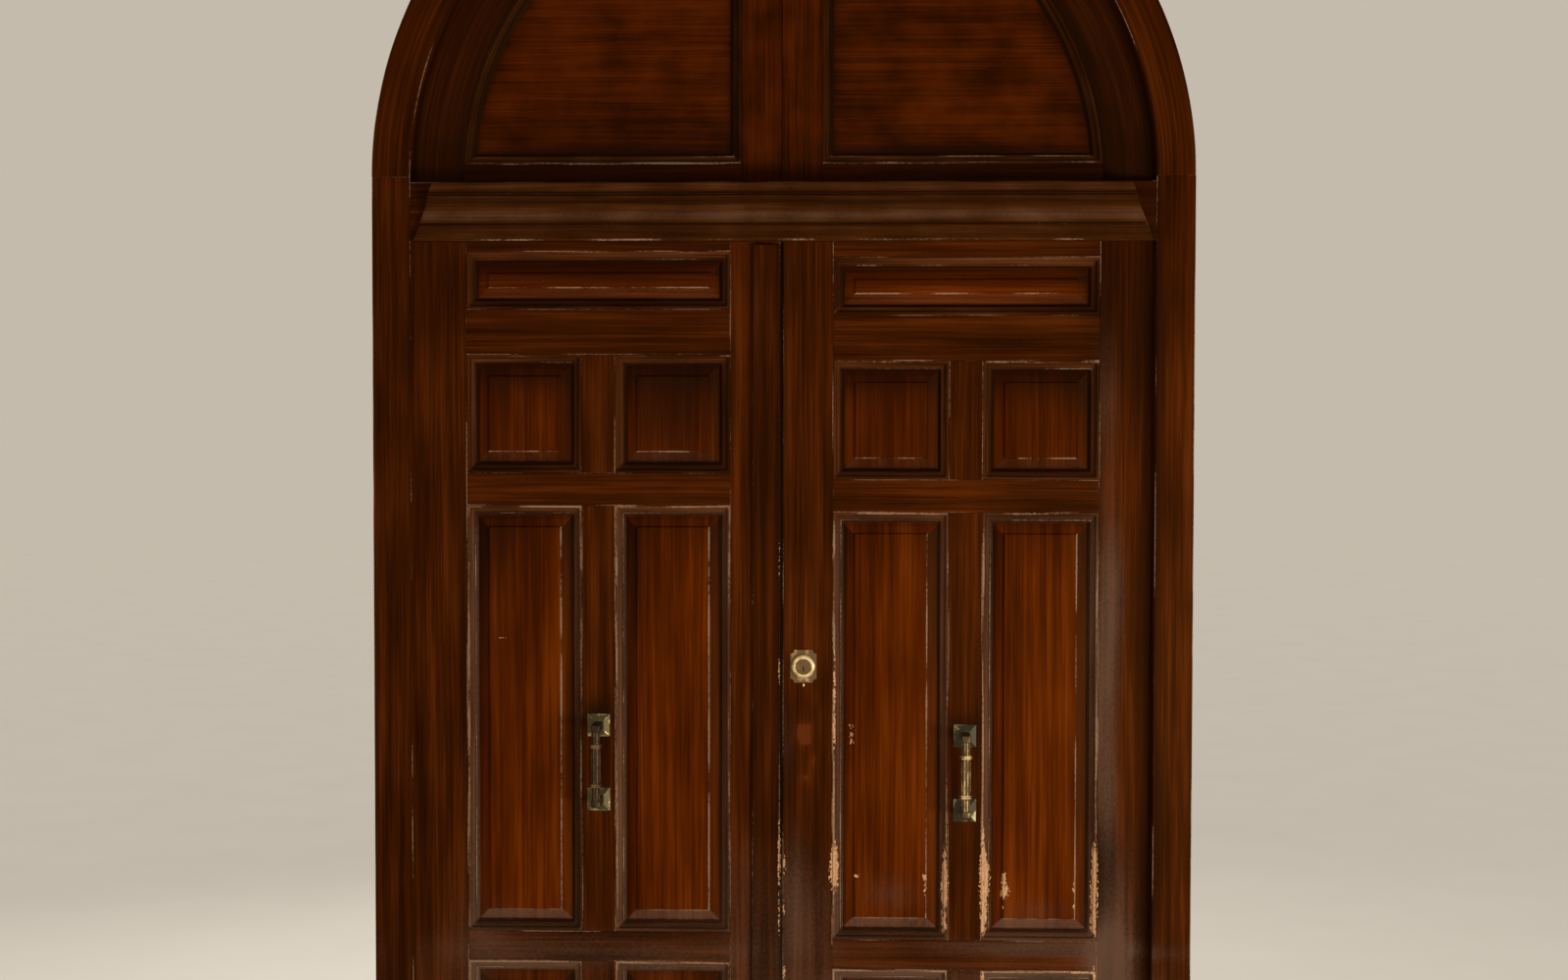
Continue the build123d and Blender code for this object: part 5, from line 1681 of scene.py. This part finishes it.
        # The arch and the stile sides get a small share of wear and painted light, and so more painted shade.
        arc, faint = 1.4 * r, (0.3, 0.1)
        return [
            RingSide(corners[0], corners[1], r - self.stile),
            RingSide(corners[1], corners[2], arc, faint, (0.0, spring)),
            RingSide(corners[2], corners[0], r, faint),
        ]

    def build_mouldings(self) -> None:
        """Mitred mouldings of both quadrants, on both faces."""
        maker = MeshMaker("tympanum_mouldings_mitred")
        depth = (self.back - self.front) / 2 - self.tongue_half
        for index, side in enumerate(Side):
            for face, way, step in Moulding.faces(self.front, self.back):
                seed = Seed.TYMPANUM_MOULDING + 2 * index + way
                ring = Moulding(self.moulding_width, depth, self.moulding_set, seed, step)
                ring.add_round(maker, self.ring(side.value), face, way)
        place(maker.write(self.finishes.crown, 40.0), "frame", "varnished_wood", "tympanum_mouldings")

    def build(self) -> None:
        """Build and dress the tympanum."""
        self.build_stiles()
        self.build_joint_tongue()
        self.build_curved_rails()
        self.build_bottom_rails()
        self.build_panels()
        self.build_mouldings()


@dataclass
class PullHandle:
    """A brass pull: square roses, square posts, and an eight-sided grip between two collars."""

    side: Side
    finishes: Finishes
    rose: float = 42 * MM
    rose_top: float = 20 * MM
    rose_base: float = 2 * MM
    rose_rise: float = 5 * MM
    rim: float = 0.8 * MM
    post: tuple[float, float] = (16 * MM, 14 * MM)
    neck: float = 7.2 * MM
    collar: float = 12 * MM
    collar_half: float = 36 * MM
    collar_height: float = 6 * MM
    grip: float = 8.25 * MM

    def __post_init__(self) -> None:
        """Read the handle's middle and reach from the CAD nodes."""
        self.node, self.body = f"{self.side.word}_pull_handle", f"{self.side.word}_leaf"
        low, high = corners_of(self.node)
        self.x, self.z = (low[0] + high[0]) / 2, (low[2] + high[2]) / 2
        self.front, self.face = low[1], high[1]
        self.half_posts = (high[2] - low[2]) / 2 - self.post[1] / 2
        self.axis_y = self.front + self.post[0] / 2
        right = self.side is Side.RIGHT
        self.grip_finish = self.finishes.brass if right else self.finishes.dull_brass
        self.rose_finish = self.finishes.rose_brass if right else self.finishes.olive_brass

    def build_roses(self) -> None:
        """Roses: low pyramids on a square base, with slightly hollow sides and a soft top edge."""
        node = f"{self.side.word}_pull_roses"
        maker = MeshMaker(f"{node}_cast")
        half, top = self.rose / 2, self.rose_top / 2
        reaches = np.array([0.0, 4 * MM, top - 0.6 * MM, top, top + 3 * MM, 16 * MM, 19 * MM,
                            half - self.rim, half])
        lines = np.unique(np.concatenate([-reaches, reaches]))
        u, v = np.meshgrid(lines, lines)
        reach = np.maximum(np.abs(u), np.abs(v))
        share = np.clip((half - reach) / (half - top), 0, 1)
        base = self.rose_base * np.clip((half - reach) / self.rim + 0.4, 0, 1)
        height = base + self.rose_rise * share**1.12
        ridge = np.exp(-np.abs(np.abs(u) - np.abs(v)) / (1.2 * MM)) * (reach > top)
        # Ridges and rim rubbed bright, with painted highlights.
        rubbed = np.maximum(ridge * 0.5, np.exp(-(half - reach) / (1.5 * MM))) * 0.8
        for end in (-1, 1):
            x, z = self.x + u, self.z + end * self.half_posts + v
            front = np.stack([x, self.face - height, z], -1)
            back = np.stack([x, np.full_like(x, self.face), z], -1)
            maker.slab(front, back, front, {"wear": rubbed})
        place(maker.write(self.rose_finish, 24.0), self.body, "aged_brass", node)

    def grip_profile(self) -> tuple[Array, Array, Array]:
        """Trace the grip from post to post: a collar is two beads side by side.

        Returns:
            Heights along the grip, its radius there, and how eight-sided it is there.
        """
        c, h, p = self.collar_half, self.collar_height / 2, self.half_posts
        bead = np.radians(np.linspace(-90, 90, 17))
        collar_z = c + h * np.sin(bead)
        root = self.neck + 1.5 * MM
        collar_r = root + (self.collar - root) * np.abs(np.sin(2 * bead)) ** 0.5 * np.cos(bead) ** 0.3
        low_z = [0.0, c - h - 8 * MM, c - h - 2 * MM, c - h - 0.4 * MM]
        low_r = [self.grip, self.grip, self.grip * 0.97, root]
        top_z = [c + h + 0.6 * MM, c + h + 2 * MM, p - 9 * MM, p]
        top_r = [self.neck + 0.8 * MM, self.neck, self.neck, self.neck]
        z = np.concatenate([low_z, collar_z, top_z])
        r = np.concatenate([low_r, collar_r, top_r])
        flats = np.concatenate([np.ones(3), np.zeros(len(collar_z) + 2), np.ones(3)])
        halves = ((-1, z), (1, r), (1, flats))
        return tuple(np.concatenate([sign * half[:0:-1], half]) for sign, half in halves)

    def add_post(self, maker: MeshMaker, level: float) -> None:
        """Add one square post, from the grip's front to the leaf, with a rounded front.

        Args:
            maker: the piece that takes it.
            level: height of its middle.
        """
        width, height = self.post
        turns = ((-1, -1), (1, -1), (1, 1), (-1, 1))
        corners = [(self.x + u * width / 2, level + v * height / 2) for u, v in turns]
        outline = Section.cut(corners, 1.6 * MM, 5 * MM)
        depth = np.array([0.0, 0.4, 1.2, 2.4, 10.0, 25.0, 40.0, 50.0]) * MM
        drawn = np.array([2.0, 1.1, 0.4, 0.0, 0.0, 0.0, 0.0, 0.0]) * MM
        ring = outline.points[None] - outline.normals[None] * drawn[:, None, None]
        deep = np.minimum(self.front + depth, self.face)
        post = np.stack([ring[..., 0], np.broadcast_to(deep[:, None], ring.shape[:2]), ring[..., 1]], -1)
        maker.tube(post, post, {})

    def build_grip(self) -> None:
        """Grip and posts.

        Round the grip the radius is r where it is round, and r / cos(a) where it is eight-sided,
        a being the turn from the middle of the nearest side.
        """
        maker = MeshMaker(f"{self.node}_cast")
        z, r, flats = self.grip_profile()
        angle, half_side = np.radians(np.arange(0, 360, 7.5)), math.pi / 8
        nearest = (angle + half_side) % (2 * half_side) - half_side
        radius = r[:, None] * (1 + flats[:, None] * (1 / np.cos(nearest)[None] - 1))
        x = self.x + radius * np.sin(angle)[None]
        y = np.clip(self.axis_y + radius * np.cos(angle)[None], self.front, None)
        points = np.stack([x, y, np.broadcast_to(self.z + z[:, None], x.shape)], -1)
        # The octagon's edges and the collars rubbed bright, with painted highlights.
        shown = flats[:, None] * np.clip(np.abs(nearest)[None] / half_side, 0, 1) ** 3
        rubbed = np.maximum(shown, (1 - flats[:, None]) * np.clip(radius / self.collar, 0, 1) ** 4)
        maker.tube(points, points, {"wear": rubbed})
        for end in (-1, 1):
            self.add_post(maker, self.z + end * self.half_posts)
        place(maker.write(self.grip_finish, 30.0), self.body, "aged_brass", self.node)

    def build(self) -> None:
        """Build and dress the pull."""
        self.build_roses()
        self.build_grip()


@dataclass(frozen=True)
class Screw:
    """One screw: the middle of its head, the axis that it faces along, and the way that it faces."""

    spot: tuple[float, float, float]
    axis: int
    way: int


@dataclass
class Ironwork:
    """Hinges, lock and sliding bolts: finishes for the CAD pieces, and every screw."""

    finishes: Finishes
    head: float = 4.2 * MM
    proud: float = 0.45 * MM
    sunk: float = 0.3 * MM
    hinge_leaf: float = 3 * MM

    def dress(self) -> None:
        """Give the carried-over CAD nodes their metals."""
        chosen = {
            "bright_brass": ("lock_rings",),
            "lock_brass": ("lock_back_plate", "lock_cylinder", "lock_plug", "thumb_turn"),
            "steel": ("lock_case", "lock_bolt", "strike_plate", "frame_hinge_halves", "hinge_pins",
                      "left_leaf_hinge_halves", "right_leaf_hinge_halves"),
            "iron": ("slide_bolt_plates", "slide_bolt_keepers", "top_slide_rod", "bottom_slide_rod"),
        }
        for finish, nodes in chosen.items():
            for node in nodes:
                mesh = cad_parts[node].data
                mesh.materials.clear()
                mesh.materials.append(getattr(self.finishes, finish))
                log.info("%s is dressed with %s", node, finish)

    def add_screw(self, maker: MeshMaker, screw: Screw, turn: float) -> None:
        """Add one slotted screw head.

        A square grid is drawn onto a disc, (u, v) going to (u sqrt(1 - v^2 / 2), v sqrt(1 - u^2 / 2)).
        Its height is a shallow dome, and the slot is a trench across it.

        Args:
            maker: the piece that takes it.
            screw: its place, on the plate's face.
            turn: the slot's turn in radians.
        """
        half_lines = np.array([0.14, 0.16, 0.3, 0.55, 0.8, 1])
        lines = np.concatenate([-half_lines[::-1], half_lines])
        u, v = np.meshgrid(lines, lines)
        a, b = u * np.sqrt(1 - v**2 / 2), v * np.sqrt(1 - u**2 / 2)
        dome = self.proud * (1 - 0.8 * (a**2 + b**2))
        slot = (np.abs(u) < 0.15) & (np.abs(v) < 0.9)
        height = np.where(slot, dome * 0.25, dome)
        c, s = math.cos(turn), math.sin(turn)
        plane = (self.head * (a * c - b * s), self.head * (a * s + b * c))
        others = [axis for axis in range(3) if axis != screw.axis]
        front, back = np.empty((*u.shape, 3)), np.empty((*u.shape, 3))
        for target, out in ((front, height), (back, -self.sunk)):
            target[..., screw.axis] = screw.spot[screw.axis] + screw.way * out
            for axis, offset in zip(others, plane):
                target[..., axis] = screw.spot[axis] + offset
        maker.slab(front, back, front, {})

    def add_screws(self, name: str, body: str, slot: str, screws: Sequence[Screw]) -> None:
        """Make one piece of all the screws of one body and metal.

        Args:
            name: the piece's name.
            body: the CAD body.
            slot: the material slot, which also picks the metal.
            screws: the screws.
        """
        finish = {"steel": self.finishes.steel, "black_iron": self.finishes.iron}[slot]
        maker = MeshMaker(name)
        turns = np.random.default_rng(len(name)).uniform(0, math.pi, len(screws))
        for screw, turn in zip(screws, turns):
            self.add_screw(maker, screw, turn)
        place(maker.write(finish, 25.0), body, slot)

    def hinge_screws(self, side: Side, on_leaf: bool) -> list[Screw]:
        """Place the screws of one side's hinge halves: four on each plate.

        Args:
            side: the side.
            on_leaf: whether they hold the leaf's half, and otherwise the frame's.

        Returns:
            The screws.
        """
        low, high = corners_of(f"{side.word}_hinge_stile")
        edge = high[0] if side is Side.RIGHT else low[0]
        x = edge if on_leaf else edge + side.value * self.hinge_leaf
        rows = ((-38, 11), (-14, 20), (14, 11), (38, 20))
        return [
            Screw((x, high[1] - inset * MM, z + rise * MM), 0, side.value if on_leaf else -side.value)
            for z in HINGE.levels() for rise, inset in rows
        ]

    def build_screws(self) -> None:
        """Screws of the hinges, the sliding bolts, the strike and the lock."""
        for side in Side:
            body = f"{side.word}_leaf"
            self.add_screws(f"{body}_hinge_screws", body, "steel", self.hinge_screws(side, True))
        frame_screws = [screw for side in Side for screw in self.hinge_screws(side, False)]
        self.add_screws("frame_hinge_screws", "frame", "steel", frame_screws)
        low, high = corners_of("slide_bolt_plates")
        keeper_low, keeper_high = corners_of("slide_bolt_keepers")
        x, y = (low[0] + high[0]) / 2, keeper_low[1] + 3 * MM
        tall, plate_inset, keeper_inset = 180 * MM, 32 * MM, 12 * MM
        rises = (plate_inset, tall - plate_inset)
        levels = [bottom + rise for bottom in (low[2], high[2] - tall) for rise in rises]
        keeper_levels = [keeper_low[2] + keeper_inset, keeper_high[2] - keeper_inset]
        for name, body, heights, off in (
            ("slide_plate_screws", "left_leaf", levels, 12 * MM),
            ("keeper_screws", "frame", keeper_levels, 15 * MM),
        ):
            pairs = [Screw((x + way * off, y, level), 1, 1) for level in heights for way in (-1, 1)]
            self.add_screws(name, body, "black_iron", pairs)
        strike_low, strike_high = corners_of("strike_plate")
        case_low, case_high = corners_of("lock_case")
        middle, inset = (strike_low[1] + strike_high[1]) / 2, 7 * MM
        for name, body, face, way, bottom, top in (
            ("strike_screws", "left_leaf", strike_high[0], 1, strike_low[2], strike_high[2]),
            ("lock_face_screws", "right_leaf", case_low[0], -1, case_low[2], case_high[2]),
        ):
            pair = [Screw((face, middle, z), 0, way) for z in (bottom + inset, top - inset)]
            self.add_screws(name, body, "steel", pair)

    def build_nail(self) -> None:
        """The small old nail under the lock, an oval head on the stile's face."""
        low, high = corners_of("lock_plug")
        x, z = (low[0] + high[0]) / 2, (low[2] + high[2]) / 2 - 29.5 * MM
        face = corners_of("right_meeting_stile")[0][1]
        turn = np.radians(np.arange(0, 360, 30))
        depth = np.array([0.4, -0.9, -1.3]) * MM
        radius = np.array([1.6, 1.6, 0.9]) * MM
        ring_x = x + radius[:, None] * np.cos(turn)[None]
        ring_z = z + 2.2 * radius[:, None] * np.sin(turn)[None]
        points = np.stack([ring_x, np.broadcast_to(face + depth[:, None], ring_x.shape), ring_z], -1)
        maker = MeshMaker("lock_old_nail")
        maker.tube(points, points, {})
        place(maker.write(self.finishes.bright_brass), "right_leaf", "aged_brass")

    def build_seals(self) -> None:
        """Near-black strips of painted shade in the two meeting edges, one before the other, that close the
        gap.
        """
        thick, long = 3 * MM, 3.8 * MM
        for side, front in ((Side.LEFT, 1 * MM), (Side.RIGHT, 5 * MM)):
            low, high = corners_of(f"{side.word}_meeting_stile")
            edge = high[0] if side is Side.LEFT else low[0]
            left, right = sorted((edge, edge - side.value * long))
            section = box_section(left, right, low[1] + front, low[1] + front + thick, 0.5 * MM, 2 * MM)
            maker = MeshMaker(f"{side.word}_gap_seal")
            Timber(section, Run.UP, low[2], high[2], Seed.BRUSH + side.value, hollow=0.0,
                   rounding=0.3 * MM, step=40 * MM).add_to(maker)
            place(maker.write(self.finishes.seal), f"{side.word}_leaf", "varnished_wood")

    def build(self) -> None:
        """Dress the metal and add its screws."""
        self.dress()
        self.build_screws()
        self.build_nail()
        self.build_seals()


@dataclass(frozen=True)
class Studio:
    """Pale floor, soft lamps and the camera at the photograph's view."""

    camera_spot: tuple[float, float, float] = (0.1328, -3.988, 1.6759)
    turned_left: float = 1.85
    turned_down: float = 1.93
    rolled: float = -0.06
    lens: float = 50.0
    sensor: float = 36.0
    floor_half: float = 24.0
    floor_colour: Colour = linear(205, 196, 182)
    world_colour: Colour = linear(196, 187, 172)
    ambient: float = 0.16
    floor_glow: float = 0.80
    lamp_spread: float = 130.0

    def build_camera(self) -> None:
        """Camera of a 50 mm lens, placed and turned as the photograph's was."""
        data = bpy.data.cameras.new("camera")
        data.lens = self.lens
        data.sensor_width = self.sensor
        camera = bpy.data.objects.new("camera", data)
        camera.location = self.camera_spot
        angles = (90 - self.turned_down, self.rolled, self.turned_left)
        camera.rotation_euler = [math.radians(angle) for angle in angles]
        bpy.context.scene.collection.objects.link(camera)
        bpy.context.scene.camera = camera

    def build_floor(self) -> None:
        """Wide pale floor with a faint mottle."""
        maker = MeshMaker("studio_floor")
        edge = np.linspace(-self.floor_half, self.floor_half, 9)
        x, y = np.meshgrid(edge, edge)
        front, back = (np.stack([x, y, np.full_like(x, z)], -1) for z in (-0.2 * MM, -0.05))
        maker.slab(front, back, front, {})
        tree = Tree(bpy.data.materials.new("pale_floor"))
        where = tree.node("ShaderNodeTexCoord", {}, {}, "Object")
        mottle = tree.noise(where, (3.0, 3.0, 3.0), 3.0)
        red, green, blue, _ = self.floor_colour
        glow = tree.mix(mottle, self.floor_colour, (red * 0.93, green * 0.93, blue * 0.92, 1.0))
        inputs = {
            "Base Color": tree.mix(0.5, glow, linear(60, 57, 52)), "Roughness": 0.8,
            "Emission Color": glow, "Emission Strength": self.floor_glow,
        }
        maker.write(tree.finish(inputs, mottle, 0.05, 1 * MM))

    def build_world(self) -> None:
        """Dim even light, seen as the pale background by the camera and in gloss."""
        world = bpy.data.worlds.new("studio")
        tree = Tree(world)
        camera, glossy, through = (
            tree.node("ShaderNodeLightPath", {}, {}, f"Is {kind} Ray")
            for kind in ("Camera", "Glossy", "Transmission")
        )
        shown = camera.math("MAXIMUM", camera, glossy.math("MAXIMUM", glossy, through))
        limits = {"Value": shown, "To Min": self.ambient, "To Max": 1.0}
        strength = tree.node("ShaderNodeMapRange", {}, limits)
        light = {"Color": self.world_colour, "Strength": strength}
        tree.close("ShaderNodeOutputWorld", tree.node("ShaderNodeBackground", {}, light))
        bpy.context.scene.world = world

    def add_lamp(
        self, name: str, spot: Sequence[float], aim: Sequence[float], size: tuple[float, float], power: float,
    ) -> None:
        """Add one rectangular soft lamp.

        Args:
            name: its name.
            spot: its middle.
            aim: the point that it faces.
            size: its width and height.
            power: its power in watts.
        """
        data = bpy.data.lights.new(name, "AREA")
        data.shape = "RECTANGLE"
        data.size, data.size_y = size
        data.energy = power
        data.spread = math.radians(self.lamp_spread)
        lamp = bpy.data.objects.new(name, data)
        lamp.location = spot
        away = np.array(spot, float) - np.array(aim, float)
        level = math.hypot(away[0], away[1])
        lamp.rotation_euler = (math.atan2(level, away[2]), 0.0, math.atan2(away[0], -away[1]))
        lamp.visible_camera = False
        bpy.context.scene.collection.objects.link(lamp)

    def build(self) -> None:
        """Build the stage."""
        self.build_camera()
        self.build_floor()
        self.build_world()
        self.add_lamp("low_right_softbox", (2.1, -2.5, 0.75), (0.0, 0.0, 1.45), (2.4, 0.7), 36.0)
        self.add_lamp("front_softbox", (-0.9, -4.6, 1.3), (0.0, 0.0, 1.4), (2.6, 1.8), 8.0)
        self.add_lamp("back_softbox", (-1.5, 3.6, 3.2), (0.0, 0.0, 1.2), (3.0, 2.6), 90.0)
        bpy.context.scene.view_settings.view_transform = "Standard"


def main() -> None:
    """Build the door's dressed pieces in order, and then the studio."""
    logging.basicConfig(level=logging.INFO, format="%(message)s")
    finishes = Finishes()
    for side in Side:
        Leaf(side, finishes).build()
        PullHandle(side, finishes).build()
    door_frame = DoorFrame(finishes)
    door_frame.build()
    Tympanum(finishes, door_frame.spring).build()
    Ironwork(finishes).build()
    Studio().build()


if __name__ == "__main__":
    main()
